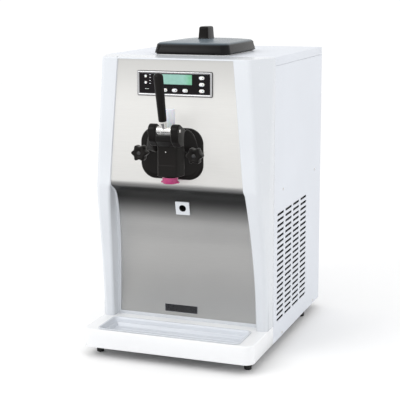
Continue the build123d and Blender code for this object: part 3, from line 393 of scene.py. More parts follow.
@dataclass(frozen=True)
class Brushed(Finish):
    """Metal with straight grain along one axis; on the front panel, painted shade darkens the foot and the
    top, and a painted dark reflection band lies at the S-bend.
    """

    grain_axis: Axis = Axis.X
    depth: float = 0.012
    contrast: float = 0.16
    painted_bend_shade: float = 0.0
    painted_shade_rise: tuple[float, float] = (0.305, 0.384)
    painted_shade_fall: tuple[float, float] = (0.405, 0.424)

    def surface(self, board: Board) -> dict[str, Value]:
        """Streaks long along the grain and under a millimetre wide across it, with painted shade and a
        painted reflection band by height when that is set.

        Args:
            board: the tree that the nodes go into.

        Returns:
            The values of the shader's varying sockets.
        """
        stretch = [1.0, 1.0, 1.0]
        stretch[self.grain_axis.value] = 0.012
        fine = board.noise(3200.0, stretch, detail=3.0, rough=0.65)
        broad = board.noise(900.0, stretch, detail=2.0)
        cloud = board.noise(11.0, detail=3.0)
        streak = fine * 0.65 + broad * 0.35
        dark = tuple(c * (1 - self.contrast) for c in self.colour)
        light = tuple(min(1.0, c * (1 + self.contrast * 0.6)) for c in self.colour)
        colour = board.blend(streak.band(0.32, 0.68), dark, light)
        # Painted shade and reflection by object height: a darker foot, a darker top and a near-black painted
        # reflection band at the S-bend.
        if self.painted_bend_shade:
            up = board.node("ShaderNodeSeparateXYZ", {}, {"Vector": board.place()}).out(2)
            bend_shade_mask = up.band(*self.painted_shade_rise) * (1 - up.band(*self.painted_shade_fall)) * self.painted_bend_shade
            # Painted shade, darker towards the bottom of the sheet.
            foot = (1 - up.band(0.05, 0.31)) * 0.8
            colour = board.blend(foot, colour, tuple(c * 0.6 for c in self.colour))
            # Painted shade towards the top of the sheet.
            colour = board.blend(up.band(0.6, 0.74), colour, tuple(c * 0.74 for c in self.colour))
            # The bend band: painted dark reflection.
            colour = board.blend(bend_shade_mask, colour, tuple(c * 0.055 for c in self.colour))
        rough = streak * 0.16 + cloud * 0.05 + (self.rough - 0.1)
        return {"Base Color": colour, "Roughness": rough, "Normal": board.bump(streak, self.depth)}


@dataclass(frozen=True)
class Plated(Finish):
    """Chrome or polished steel: nearly a mirror, with faint wipe marks."""

    def surface(self, board: Board) -> dict[str, Value]:
        """Wipe marks change only the gloss.

        Args:
            board: the tree that the nodes go into.

        Returns:
            The values of the shader's varying sockets.
        """
        wipe = board.noise(70.0, (1.0, 1.0, 0.3), detail=5.0)
        fine = board.noise(900.0, (0.1, 1.0, 1.0), detail=2.0)
        dull = tuple(c * 0.93 for c in self.colour)
        colour = board.blend(wipe.band(0.3, 0.7), dull, self.colour)
        rough = wipe * 0.08 + fine * 0.06 + (self.rough - 0.05)
        return {"Base Color": colour, "Roughness": rough, "Normal": board.bump(fine, 0.004)}


@dataclass(frozen=True)
class Spangled(Finish):
    """Zinc-coated sheet: angular crystals of differing grey."""

    crystal: float = 90.0

    def surface(self, board: Board) -> dict[str, Value]:
        """Crystals about a centimetre across.

        Args:
            board: the tree that the nodes go into.

        Returns:
            The values of the shader's varying sockets.
        """
        inputs = {"Vector": board.place(), "Scale": self.crystal}
        cells = board.node("ShaderNodeTexVoronoi", {}, inputs)
        tone = board.node("ShaderNodeSeparateColor", {}, {"Color": cells.out("Color")}).out(0)
        dark = tuple(c * 0.8 for c in self.colour)
        fine = board.noise(700.0, detail=3.0)
        rough = tone * 0.2 + fine * 0.1 + (self.rough - 0.12)
        relief = board.bump(cells.out("Distance") + fine * 0.3, 0.02)
        return {"Base Color": board.blend(tone, dark, self.colour), "Roughness": rough, "Normal": relief}


@dataclass(frozen=True)
class Cellular(Finish):
    """Foam, rubber or a rough casting: pits and lumps of one size."""

    cell: float = 600.0
    depth: float = 0.2

    def surface(self, board: Board) -> dict[str, Value]:
        """Pits from a cell pattern over a slow change of tone.

        Args:
            board: the tree that the nodes go into.

        Returns:
            The values of the shader's varying sockets.
        """
        pits = board.node(
            "ShaderNodeTexVoronoi", {}, {"Vector": board.place(), "Scale": self.cell}
        ).out("Distance")
        lumps = board.noise(self.cell * 0.25, detail=4.0)
        dark = tuple(c * 0.72 for c in self.colour)
        colour = board.blend((pits * 0.6 + lumps * 0.5).clamp(), dark, self.colour)
        rough = lumps * 0.15 + (self.rough - 0.07)
        return {
            "Base Color": colour, "Roughness": rough, "Normal": board.bump(pits + lumps * 0.5, self.depth)
        }


@dataclass(frozen=True)
class Crowned(Moulded):
    """Black moulding whose crowned top has a painted blue-grey sheen, a painted reflection in the base
    colour.
    """

    painted_sheen: tuple[float, float, float] = (0.17, 0.212, 0.245)
    painted_sheen_from: tuple[float, float] = (0.7425, 0.7485)

    def surface(self, board: Board) -> dict[str, Value]:
        """The moulding's own surface, with a painted blue-grey sheen (painted reflection) from the shoulder
        up.

        Args:
            board: the tree that the nodes go into.

        Returns:
            The values of the shader's varying sockets.
        """
        sockets = super().surface(board)
        up = board.node("ShaderNodeSeparateXYZ", {}, {"Vector": board.place()}).out(2)
        cloud = board.noise(7.0, (1.0, 0.4, 1.0), detail=2.0)
        tone = board.blend(cloud.band(0.3, 0.7), tuple(c * 0.6 for c in self.painted_sheen), self.painted_sheen)
        # Painted reflection: the base colour turns blue-grey from the shoulder up.
        sockets["Base Color"] = board.blend(up.band(*self.painted_sheen_from), sockets["Base Color"], tone)
        return sockets


@dataclass(frozen=True)
class LiquidCrystal(Finish):
    """A lit liquid-crystal window: a fine dot grid, greener towards one end."""

    far: tuple[float, float, float] = (0.1, 0.35, 0.18)
    shift_x: tuple[float, float] = (0.02, 0.042)
    light: float = 0.3

    def constants(self) -> dict[str, Value]:
        """The strength of the back light."""
        return {"Emission Strength": self.light}

    def surface(self, board: Board) -> dict[str, Value]:
        """Rows and columns of cells about 0.7 mm apart.

        Args:
            board: the tree that the nodes go into.

        Returns:
            The values of the shader's varying sockets.
        """
        spot = board.node("ShaderNodeSeparateXYZ", {}, {"Vector": board.place()})
        along, up = spot.out(0), spot.out(2)
        grid = board.node("ShaderNodeMath", {"operation": "SINE"}, {0: along * 9000.0}).out(0)
        lines = board.node("ShaderNodeMath", {"operation": "SINE"}, {0: up * 9000.0}).out(0)
        cells = (grid * lines * 0.5 + 0.5).band(0.2, 0.9)
        cloud = board.noise(120.0, (1, 1, 1.4), detail=2.0)
        base = board.blend(along.band(*self.shift_x), self.colour, self.far)
        pale = board.blend(cloud.band(0.3, 0.7) * 0.35, base, tuple(min(1.0, c * 1.2) for c in self.colour))
        colour = board.blend(cells * 0.22, pale, tuple(c * 0.55 for c in self.colour))
        return {"Base Color": colour, "Emission Color": colour, "Roughness": cloud * 0.1 + self.rough}


@dataclass(frozen=True)
class Floor(Finish):
    """The plain pale worktop under the machine."""

    def surface(self, board: Board) -> dict[str, Value]:
        """Almost even, with a trace of tone."""
        drift = board.noise(2.0, detail=2.0)
        colour = board.blend(drift, tuple(c * 0.995 for c in self.colour), self.colour)
        return {"Base Color": colour, "Roughness": drift * 0.05 + self.rough}


FINISHES: tuple[Finish, ...] = (
    Moulded(Slot.WHITE_MOULDING, (0.665, 0.69, 0.725), 0.26, coat=0.1, relief=0.008, mottle=0.012),
    Painted(Slot.WHITE_PAINT, (0.7, 0.73, 0.785), 0.38),
    # The brushed panel carries painted shade and a painted reflection band by height.
    Brushed(Slot.BRUSHED_PANEL, (0.76, 0.755, 0.735), 0.46, 1.0, contrast=0.035, painted_bend_shade=0.97),
    Moulded(Slot.BLACK_MOULDING, (0.0065, 0.0055, 0.005), 0.3, specular=0.13, relief=0.012, mottle=0.25),
    Moulded(Slot.DISPLAY_BLACK, (0.006, 0.005, 0.006), 0.2, specular=0.12, relief=0.004, mottle=0.2),
    LiquidCrystal(Slot.DISPLAY_GREEN, (0.22, 0.41, 0.35), 0.3),
    Plated(Slot.CHROME_TRIM, (0.5, 0.5, 0.51), 0.14, 1.0),
    Moulded(Slot.BUTTON_WHITE, (0.86, 0.86, 0.86), 0.5, glow=0.1, relief=0.02, mottle=0.02),
    Moulded(Slot.BADGE_DARK, (0.018, 0.018, 0.02), 0.28, relief=0.01, mottle=0.2),
    Moulded(Slot.MAGENTA_NOZZLE, (0.4, 0.035, 0.15), 0.34, coat=0.15, glow=0.06, relief=0.012, mottle=0.08),
    Moulded(Slot.WHITE_ACETAL, (0.8, 0.83, 0.88), 0.35, glow=0.35, relief=0.012, mottle=0.02),
    Plated(Slot.POLISHED_STEEL, (0.72, 0.71, 0.69), 0.2, 1.0),
    Spangled(Slot.GALVANISED, (0.42, 0.43, 0.44), 0.45, 0.85),
    Cellular(Slot.FOAM, (0.12, 0.12, 0.125), 0.9, cell=500.0, depth=0.5),
    Cellular(Slot.RUBBER_BLACK, (0.014, 0.014, 0.014), 0.72, cell=1500.0, depth=0.06),
    Cellular(Slot.CAST_HOUSING, (0.28, 0.28, 0.29), 0.55, 0.7, cell=350.0, depth=0.12),
    Painted(Slot.MOTOR_PAINT, (0.03, 0.032, 0.036), 0.42, depth=0.08),
    Brushed(Slot.ALUMINIUM_FIN, (0.3, 0.3, 0.31), 0.4, 0.9, grain_axis=Axis.Z),
    Plated(Slot.COPPER, (0.72, 0.34, 0.2), 0.3, 1.0),
    Moulded(Slot.BLACK_INLET, (0.012, 0.012, 0.013), 0.45, relief=0.03, mottle=0.2),
)

# The lid's black moulding, with a painted sheen on its crowned top.
LID_FINISH = Crowned(
    Slot.BLACK_MOULDING, (0.0065, 0.006, 0.006), 0.26, specular=0.14, relief=0.008, mottle=0.2
)
# A brighter copy of the white moulding for the shelf: painted light on the same moulding.
SHELF_PAINTED_LIGHT = Moulded(Slot.WHITE_MOULDING, (0.85, 0.86, 0.875), 0.26, coat=0.1, relief=0.008, mottle=0.012)
# A bluer copy of the white moulding, darker than the shelf's: painted shade in the basin.
TRAY_PAINTED_SHADE = Moulded(Slot.WHITE_MOULDING, (0.66, 0.69, 0.74), 0.22, coat=0.2, relief=0.008, mottle=0.02)


# ---------------------------------------------------------------- mesh tools


def corner_points(
    width: float, length: float, radii: Sequence[float], steps: int = 8
) -> list[tuple[float, float]]:
    """The outline of a rounded rectangle about the origin, with the same number of points for any size.

    Args:
        width: size along the first axis.
        length: size along the second axis.
        radii: corner radii for the (+,+), (-,+), (-,-) and (+,-) corners.
        steps: segments in each corner.

    Returns:
        Points, counter-clockwise.
    """
    points = []
    signs = ((1, 1), (-1, 1), (-1, -1), (1, -1))
    for turn, ((sx, sy), radius) in enumerate(zip(signs, radii)):
        for step in range(steps + 1):
            angle = math.radians(90 * (turn + step / steps))
            x = sx * (width / 2 - radius) + radius * math.cos(angle)
            y = sy * (length / 2 - radius) + radius * math.sin(angle)
            points.append((x, y))
    return points


def interpolate(table: Sequence[tuple[float, float]], value: float) -> float:
    """A smooth curve through a table of (place, value) points, with no overshoot at its ends.

    Args:
        table: points in rising order of place.
        value: the place to read at.

    Returns:
        The curve's value there.
    """
    places = [p for p, _ in table]
    heights = [h for _, h in table]
    if value <= places[0]:
        return heights[0]
    if value >= places[-1]:
        return heights[-1]
    right = next(i for i, p in enumerate(places) if p >= value)
    left = right - 1

    def slope(i: int) -> float:
        """The curve's slope at a point of the table."""
        low, high = max(0, i - 1), min(len(places) - 1, i + 1)
        return (heights[high] - heights[low]) / (places[high] - places[low])

    run = places[right] - places[left]
    t = (value - places[left]) / run
    start = (2 * t**3 - 3 * t**2 + 1) * heights[left] + (t**3 - 2 * t**2 + t) * run * slope(left)
    end = (-2 * t**3 + 3 * t**2) * heights[right] + (t**3 - t**2) * run * slope(right)
    return start + end


class Shape:
    """A mesh under construction, in millimetres."""

    def __init__(self, name: str) -> None:
        """Starts an empty mesh with the piece's name."""
        self.name = name
        self.bm = bmesh.new()

    def ring(self, points: Iterable[Point]) -> list[bmesh.types.BMVert]:
        """Adds a row of vertices."""
        return [self.bm.verts.new(Vector(p) * MM) for p in points]

    def bridge(self, first: list, second: list, closed: bool = True) -> None:
        """Quads between two rows of equal length.

        Args:
            first: one row of vertices.
            second: the other row.
            closed: whether the last pair joins the first.
        """
        count = len(first)
        for i in range(count if closed else count - 1):
            j = (i + 1) % count
            self.bm.faces.new((first[i], first[j], second[j], second[i]))

    def loft(self, rings: Sequence[Iterable[Point]], caps: bool = True, loop: bool = False) -> "Shape":
        """A skin through rings of equal length.

        Args:
            rings: the closed rings, in order.
            caps: whether the first and last ring are filled.
            loop: whether the last ring joins the first.

        Returns:
            The shape itself.
        """
        made = [self.ring(r) for r in rings]
        for first, second in zip(made, made[1:]):
            self.bridge(first, second)
        if loop:
            self.bridge(made[-1], made[0])
        elif caps:
            self.bm.faces.new(list(reversed(made[0])))
            self.bm.faces.new(made[-1])
        return self

    def prism(self, outline: Sequence[tuple[float, float]], axis: Axis, low: float, high: float) -> "Shape":
        """An outline, in XYZ order of its two coordinates, extruded between two places on an axis."""
        return self.loft(
            [[axis.place(u, v, low) for u, v in outline], [axis.place(u, v, high) for u, v in outline]]
        )

    def slab(self, x: Point, y: Point, z: Point) -> "Shape":
        """A block between two limits on each axis."""
        outline = [(x[0], y[0]), (x[1], y[0]), (x[1], y[1]), (x[0], y[1])]
        return self.prism(outline, Axis.Z, z[0], z[1])

    def lathe(
        self,
        profile: Sequence[tuple[float, float]],
        axis: Axis,
        centre: tuple[float, float],
        steps: int = 48,
        loop: bool = False,
    ) -> "Shape":
        """Turns a profile of (radius, place) points about an axis.

        Args:
            profile: points along the wall; its ends are capped unless loop is set.
            axis: the direction of the turning axis.
            centre: the axis's two other coordinates, in XYZ order.
            steps: segments round the axis.
            loop: whether the profile closes on itself, as a ring's does.

        Returns:
            The shape itself.
        """
        rings = []
        for radius, along in profile:
            turn = [2 * math.pi * i / steps for i in range(steps)]
            rings.append(
                [
                    axis.place(
                        centre[0] + radius * math.cos(a), centre[1] + radius * math.sin(a), along
                    ) for a in turn
                ]
            )
        return self.loft(rings, caps=not loop, loop=loop)

    def turn(self, matrix: Matrix) -> "Shape":
        """Moves what is there so far by a matrix whose shift is in millimetres.

        Args:
            matrix: the move, its shift in millimetres.

        Returns:
            The shape itself.
        """
        moved = matrix.copy()
        moved.translation = moved.translation * MM
        bmesh.ops.transform(self.bm, matrix=moved, verts=self.bm.verts)
        return self

    def object(self) -> bpy.types.Object:
        """Closes the mesh, turns its faces outwards and links it as an object.

        Returns:
            The object, with its place in its mesh.
        """
        bmesh.ops.remove_doubles(self.bm, verts=self.bm.verts, dist=1e-7)
        bmesh.ops.dissolve_degenerate(self.bm, edges=self.bm.edges, dist=1e-8)
        bmesh.ops.recalc_face_normals(self.bm, faces=self.bm.faces)
        mesh = bpy.data.meshes.new(self.name)
        self.bm.to_mesh(mesh)
        self.bm.free()
        made = bpy.data.objects.new(self.name, mesh)
        bpy.context.scene.collection.objects.link(made)
        return made


def settle(piece: bpy.types.Object) -> bpy.types.Object:
    """Applies a piece's modifiers and smooths all but its sharp edges.

    Args:
        piece: the object to settle.

    Returns:
        The same object with a plain mesh.
    """
    graph = bpy.context.evaluated_depsgraph_get()
    mesh = bpy.data.meshes.new_from_object(piece.evaluated_get(graph))
    mesh.name = piece.name
    piece.modifiers.clear()
    old = piece.data
    piece.data = mesh
    bpy.data.meshes.remove(old)
    mesh.polygons.foreach_set("use_smooth", [True] * len(mesh.polygons))
    mesh.set_sharp_from_angle(angle=SMOOTH_ANGLE)
    return piece


def cut(piece: bpy.types.Object, *cutters: Shape) -> bpy.types.Object:
    """Cuts shapes out of a piece.

    Args:
        piece: the object to cut.
        cutters: closed shapes; each is used up.

    Returns:
        The piece.
    """
    for cutter in cutters:
        tool = cutter.object()
        boolean = piece.modifiers.new("cut", "BOOLEAN")
        boolean.operation = "DIFFERENCE"
        boolean.solver = "EXACT"
        boolean.object = tool
        settle(piece)
        bpy.data.objects.remove(tool)
    return piece


def soften(
    piece: bpy.types.Object, width: float, segments: int = 3, angle: float = 32.0, merge: float = 0.0
) -> bpy.types.Object:
    """Rounds a piece's edges and evens its normals.

    Args:
        piece: the object to round.
        width: bevel width in millimetres.
        segments: facets in the rounding.
        angle: edges sharper than this, in degrees, are rounded.
        merge: distance in millimetres within which loose points join first, or 0.

    Returns:
        The settled piece.
    """
    if merge:
        weld = piece.modifiers.new("weld", "WELD")
        weld.merge_threshold = merge * MM
    bevel = piece.modifiers.new("edge", "BEVEL")
    bevel.width = width * MM
    bevel.segments = segments
    bevel.limit_method = "ANGLE"
    bevel.angle_limit = math.radians(angle)
    bevel.miter_outer = "MITER_ARC"
    bevel.use_clamp_overlap = True
    piece.modifiers.new("normals", "WEIGHTED_NORMAL").keep_sharp = True
    return settle(piece)


class Workshop:
    """Gives finished pieces their finish, body and CAD node, and reports them."""

    def __init__(self) -> None:
        """Builds every finish once."""
        self.materials = {finish.slot: finish.material() for finish in FINISHES}
        self.count = 0

    def material(self, slot: Slot) -> bpy.types.Material:
        """The material of a slot."""
        return self.materials[slot]

    def dress(self, piece: bpy.types.Object, slot: Slot) -> None:
        """Gives a piece one material.

        Args:
            piece: the object.
            slot: the material slot.
        """
        piece.data.materials.clear()
        piece.data.materials.append(self.material(slot))
        for polygon in piece.data.polygons:
            polygon.material_index = 0

    def fit(self, piece: bpy.types.Object, body: Body, slot: Slot, *stands_for: str) -> bpy.types.Object:
        """Finishes a piece and puts it on its body.

        Args:
            piece: the settled object.
            body: the CAD body it rides on.
            slot: the material slot of its finish.
            stands_for: the CAD nodes it replaces.

        Returns:
            The piece.
        """
        self.dress(piece, slot)
        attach(piece, body.value)
        if stands_for:
            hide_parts(*stands_for)
        self.count += 1
        LOG.info("%s on %s: %d faces", piece.name, body.value, len(piece.data.polygons))
        return piece

    def dress_frame(self) -> None:
        """Gives every CAD node that stays in view the procedural finish of its slot."""
        for part in frame["record"]["subparts"]:
            node = frame["nodes"][part["node"]]
            node.data.materials.clear()
            node.data.materials.append(self.material(Slot(part["material_slot"])))


def limits(node: str) -> tuple[Vector, Vector]:
    """A CAD node's lowest and highest corners, in millimetres."""
    low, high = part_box(node)
    return low / MM, high / MM


# ---------------------------------------------------------------- repeated parts


class Pattern:
    """A Geometry Nodes tree that sets copies of one small form at the points of a carrier mesh."""

    def __init__(self, kind: str, name: str) -> None:
        """Names the tree after the kind of part and the piece after itself.

        Args:
            kind: the kind of part, for the tree's name.
            name: the piece's name.
        """
        self.kind = kind
        self.name = name
        self.places: list[Vector] = []
        self.facings: list[Vector] = []
        self.turns: list[float] = []

    def at(self, place: Point, facing: Point = (0, 0, 1), turn: float = 0.0) -> "Pattern":
        """Adds one copy.

        Args:
            place: where it goes, in millimetres.
            facing: the direction that the form's +Z takes.
            turn: its turn about that direction, in degrees.

        Returns:
            The pattern.
        """
        self.places.append(Vector(place))
        self.facings.append(Vector(facing))
        self.turns.append(math.radians(turn))
        return self

    def grid(self, start: Point, step: Point, count: int, cross: Point, rows: int) -> "Pattern":
        """Adds rows of copies that all face up.

        Args:
            start: where the first copy stands.
            step: from one copy to the next.
            count: copies in a row.
            cross: from one row to the next.
            rows: how many rows.

        Returns:
            The pattern.
        """
        for row in range(rows):
            for i in range(count):
                self.at(Vector(start) + Vector(step) * i + Vector(cross) * row)
        return self

    def _carrier(self) -> bpy.types.Object:
        """The points as a mesh, with each copy's facing and turn as attributes.

        Returns:
            The carrier object.
        """
        mesh = bpy.data.meshes.new(self.name)
        mesh.from_pydata([tuple(p * MM) for p in self.places], [], [])
        mesh.attributes.new("facing", "FLOAT_VECTOR", "POINT")
        mesh.attributes.new("turn", "FLOAT", "POINT")
        facing, turn = mesh.attributes["facing"], mesh.attributes["turn"]
        for i, (way, angle) in enumerate(zip(self.facings, self.turns)):
            facing.data[i].vector = way
            turn.data[i].value = angle
        made = bpy.data.objects.new(self.name, mesh)
        bpy.context.scene.collection.objects.link(made)
        return made

    def _tree(self) -> bpy.types.NodeTree:
        """The tree: points, copies turned to their facing, realized, with their material.

        Returns:
            The finished tree.
        """
        tree = bpy.data.node_groups.new(f"{self.kind}_pattern", "GeometryNodeTree")
        face = tree.interface
        face.new_socket("Geometry", in_out="INPUT", socket_type="NodeSocketGeometry")
        face.new_socket("Form", in_out="INPUT", socket_type="NodeSocketObject")
        size = face.new_socket("Size", in_out="INPUT", socket_type="NodeSocketFloat")
        size.default_value = 1.0
        face.new_socket("Material", in_out="INPUT", socket_type="NodeSocketMaterial")
        face.new_socket("Geometry", in_out="OUTPUT", socket_type="NodeSocketGeometry")
        board = Board(tree)
        given = board.node("NodeGroupInput", {}, {})
        form = board.node(
            "GeometryNodeObjectInfo", {"transform_space": "ORIGINAL"}, {"Object": given.out("Form")}
        )
        facing = board.node(
            "GeometryNodeInputNamedAttribute", {"data_type": "FLOAT_VECTOR"}, {"Name": "facing"}
        )
        turn = board.node("GeometryNodeInputNamedAttribute", {"data_type": "FLOAT"}, {"Name": "turn"})
        spin = board.node("ShaderNodeCombineXYZ", {}, {"Z": turn.out("Attribute")})
        own = board.node("FunctionNodeEulerToRotation", {}, {"Euler": spin.out(0)})
        aligned = board.node(
            "FunctionNodeAlignRotationToVector", {"axis": "Z"}, {"Vector": facing.out("Attribute")}
        )
        both = board.node(
            "FunctionNodeRotateRotation", {"rotation_space": "LOCAL"}, {0: aligned.out(0), 1: own.out(0)}
        )
        inputs = {
            "Points": given.out("Geometry"),
            "Instance": form.out("Geometry"),
            "Rotation": both.out(0),
            "Scale": given.out("Size"),
        }
        copies = board.node("GeometryNodeInstanceOnPoints", {}, inputs)
        real = board.node("GeometryNodeRealizeInstances", {}, {"Geometry": copies.out(0)})
        paint = board.node(
            "GeometryNodeSetMaterial", {}, {"Geometry": real.out(0), "Material": given.out("Material")}
        )
        board.node("NodeGroupOutput", {}, {"Geometry": paint.out(0)})
        return tree

    def build(self, form: Shape, material: bpy.types.Material, bevel: float = 0.0) -> bpy.types.Object:
        """Makes all the copies as one plain mesh.

        Args:
            form: the small form, about the origin.
            material: its material.
            bevel: rounding of the form's edges in millimetres, or 0.

        Returns:
            The settled object.
        """
        master = form.object()
        if bevel:
            soften(master, bevel, 2, 40.0)
        carrier = self._carrier()
        tree = self._tree()
        modifier = carrier.modifiers.new("pattern", "NODES")
        modifier.node_group = tree
        values = {"Form": master, "Size": 1.0, "Material": material}
        for item in tree.interface.items_tree:
            if item.in_out == "INPUT" and item.name in values:
                modifier[item.identifier] = values[item.name]
        settle(carrier)
        for name in ("facing", "turn"):
            if name in carrier.data.attributes:
                carrier.data.attributes.remove(carrier.data.attributes[name])
        bpy.data.objects.remove(master)
        return carrier


# ---------------------------------------------------------------- cabinet


@dataclass
class Cabinet:
    """Sheet-metal sides, back and top, their screws, the dark dust filters behind the vents that also stand
    in for the shade behind the slots, and the feet.
    """

    half: float = 215.0
    joint: float = -118.2
    back: float = 318.8
    base: float = 25.0
    top: float = 719.0
    rim: float = 20.0
    side_screws: tuple[tuple[float, float], ...] = ((75.4, 7.7), (373.6, 7.7), (75.4, 370.5), (373.6, 370.5))
    rear_screws: tuple[tuple[float, float], ...] = tuple((x, h) for x in (-203, 203) for h in (14, 345, 660))
    vent_pitch: tuple[float, float] = (69.5, 13.84)
    vent_centre: tuple[float, float] = (160.7, 182.5)
    vent_slot: tuple[float, float] = (57.0, 6.5)
    vent_count: tuple[int, int] = (4, 20)

    def build(self, shop: Workshop) -> None:
        """Builds the cabinet's own pieces.

        Args:
            shop: the workshop that finishes them.
        """
        self._cover(shop)
        self._screws(shop)
        self._vent_shade_filters(shop)
        self._feet(shop)

    def _cover(self, shop: Workshop) -> None:
        """The folded top cover with rounded folds, its hopper opening and a rolled lower hem.

        Args:
            shop: the workshop that finishes the pieces.
        """
        length = self.back - self.joint
        middle = (self.back + self.joint) / 2

        def ring(inset: float, height: float, radius: float) -> list[Vector]:
            """One level of the cover."""
            points = corner_points(2 * (self.half - inset), length - 2 * inset, [radius] * 4, 4)
            return [Vector((x, middle + y, height)) for x, y in points]

        rings = [ring(1.4, self.top - self.rim, 0.6), ring(0.2, self.top - self.rim, 1.6)]
        rings.append(ring(0.0, self.top - self.rim + 0.4, 1.8))
        for step in range(5):
            angle = math.radians(90 * step / 4)
            rings.append(ring(2.2 * (1 - math.cos(angle)), self.top - 2.2 + 2.2 * math.sin(angle), 2.4))
        for drop in (0.0, -1.4):
            points = corner_points(2 * 84.5, 205.0, [1.5] * 4, 4)
            centre = (self.joint + 18 + self.joint + 222) / 2
            rings.append([Vector((x, centre + y, self.top + drop)) for x, y in points])
        rings.append(ring(1.6, self.top - 1.6, 1.0))
        piece = Shape("cover_shell").loft(rings, loop=True).object()
        shop.fit(settle(piece), Body.CABINET, Slot.WHITE_PAINT, "top_cover")

    @staticmethod
    def screw_form() -> Shape:
        """A pan-head screw with a cross recess, its seat at the origin."""
        return Shape("screw_form").lathe(
            [(2.0, -4.0), (2.0, 0.0), (3.6, 0.0), (3.55, 0.5), (3.0, 1.1), (1.8, 1.45), (0.2, 1.5)],
            Axis.Z,
            (0, 0),
            24,
        )

    def _screws(self, shop: Workshop) -> None:
        """All the panel screws, each turned to its own angle.

        Args:
            shop: the workshop that finishes the pieces.
        """
        screws = Pattern("screw", "sheet_screws")
        turn = 0.0
        for side in (-1, 1):
            for depth, height in self.side_screws:
                turn += 37.0
                screws.at((side * self.half, self.joint + depth, self.base + height), (side, 0, 0), turn)
        for x, height in self.rear_screws:
            turn += 37.0
            screws.at((x, self.back, self.base + height), (0, 1, 0), turn)
        form = self.screw_form()
        cross = [
            Shape("cut").slab((-2.0, 2.0), (-0.42, 0.42), (0.75, 1.49)),
            Shape("cut").slab((-0.42, 0.42), (-2.0, 2.0), (0.75, 1.48)),
        ]
        master = form.object()
        cut(master, *cross)
        shape = Shape("screw_form")
        shape.bm.from_mesh(master.data)
        bpy.data.objects.remove(master)
        shop.fit(
            screws.build(shape, shop.material(Slot.POLISHED_STEEL)),
            Body.CABINET,
            Slot.POLISHED_STEEL,
            "panel_screws"
        )

    def _vent_shade_filters(self, shop: Workshop) -> None:
        """A dark dust filter behind each side's vents: a fine lattice in a frame, and a dark sheet that
        stands in for the shade inside the slots.

        Args:
            shop: the workshop that finishes the pieces.
        """
        span = self.vent_pitch[0] * (self.vent_count[0] - 1) + self.vent_slot[0] + 14
        tall = self.vent_pitch[1] * (self.vent_count[1] - 1) + self.vent_slot[1] + 12
        middle_y, middle_z = self.joint + self.vent_centre[0], self.base + self.vent_centre[1]
        for side, name in ((-1, "left"), (1, "right")):
            x = side * (self.half - 4.5)
            # Dark sheet behind the slots: a filter that also stands in for the shade inside the cabinet.
            sheet = Shape(f"dust_filter_{name}")
            sheet.slab(
                sorted((x, x - side * 3.0)),
                (middle_y - span / 2, middle_y + span / 2),
                (middle_z - tall / 2, middle_z + tall / 2),
            )
            shop.fit(soften(sheet.object(), 0.8, 2), Body.CABINET, Slot.RUBBER_BLACK)
            lattice = Pattern("wire", f"filter_wires_{name}")
            rows = int(tall // 6)
            for i in range(rows):
                lattice.at((x + side * 0.2, middle_y, middle_z - tall / 2 + 3 + i * 6), (side, 0, 0), 90)
            wire = Shape("wire_form").slab((-span / 2, span / 2), (-0.5, 0.5), (-0.4, 0.4))
            built = lattice.build(wire, shop.material(Slot.RUBBER_BLACK))
            shop.fit(built, Body.CABINET, Slot.RUBBER_BLACK)

    def _feet(self, shop: Workshop) -> None:
        """Four moulded rubber feet on threaded studs.

        Args:
            shop: the workshop that finishes the pieces.
        """
        for node in [n for n in frame["nodes"] if n.startswith("foot_")]:
            low, high = limits(node)
            centre = ((low.x + high.x) / 2, (low.y + high.y) / 2)
            profile = [
                (0.3, 0.0),
                (7.2, 0.0),
                (8.2, 0.5),
                (8.9, 1.6),
                (9.1, 4.5),
                (8.7, 5.0),
                (8.7, 5.7),
                (9.3, 6.2),
            ]
            profile += [
                (9.7, 11.0), (9.3, 11.5), (9.3, 12.2), (9.9, 12.7), (10.6, 20.0), (10.9, 23.2), (10.4, 24.0)
            ]
            profile += [(3.9, 24.0)]
            for i in range(12):
                profile += [(3.9, 25.0 + i * 1.5), (3.3, 25.6 + i * 1.5)]
            profile += [(3.6, 43.4), (3.0, 44.0), (0.3, 44.0)]
            pad = Shape(f"levelling_{node}").lathe(profile, Axis.Z, centre, 40).object()
            settle(pad)
            shop.dress(pad, Slot.RUBBER_BLACK)
            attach(pad, node)
            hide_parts(node)


# ---------------------------------------------------------------- front


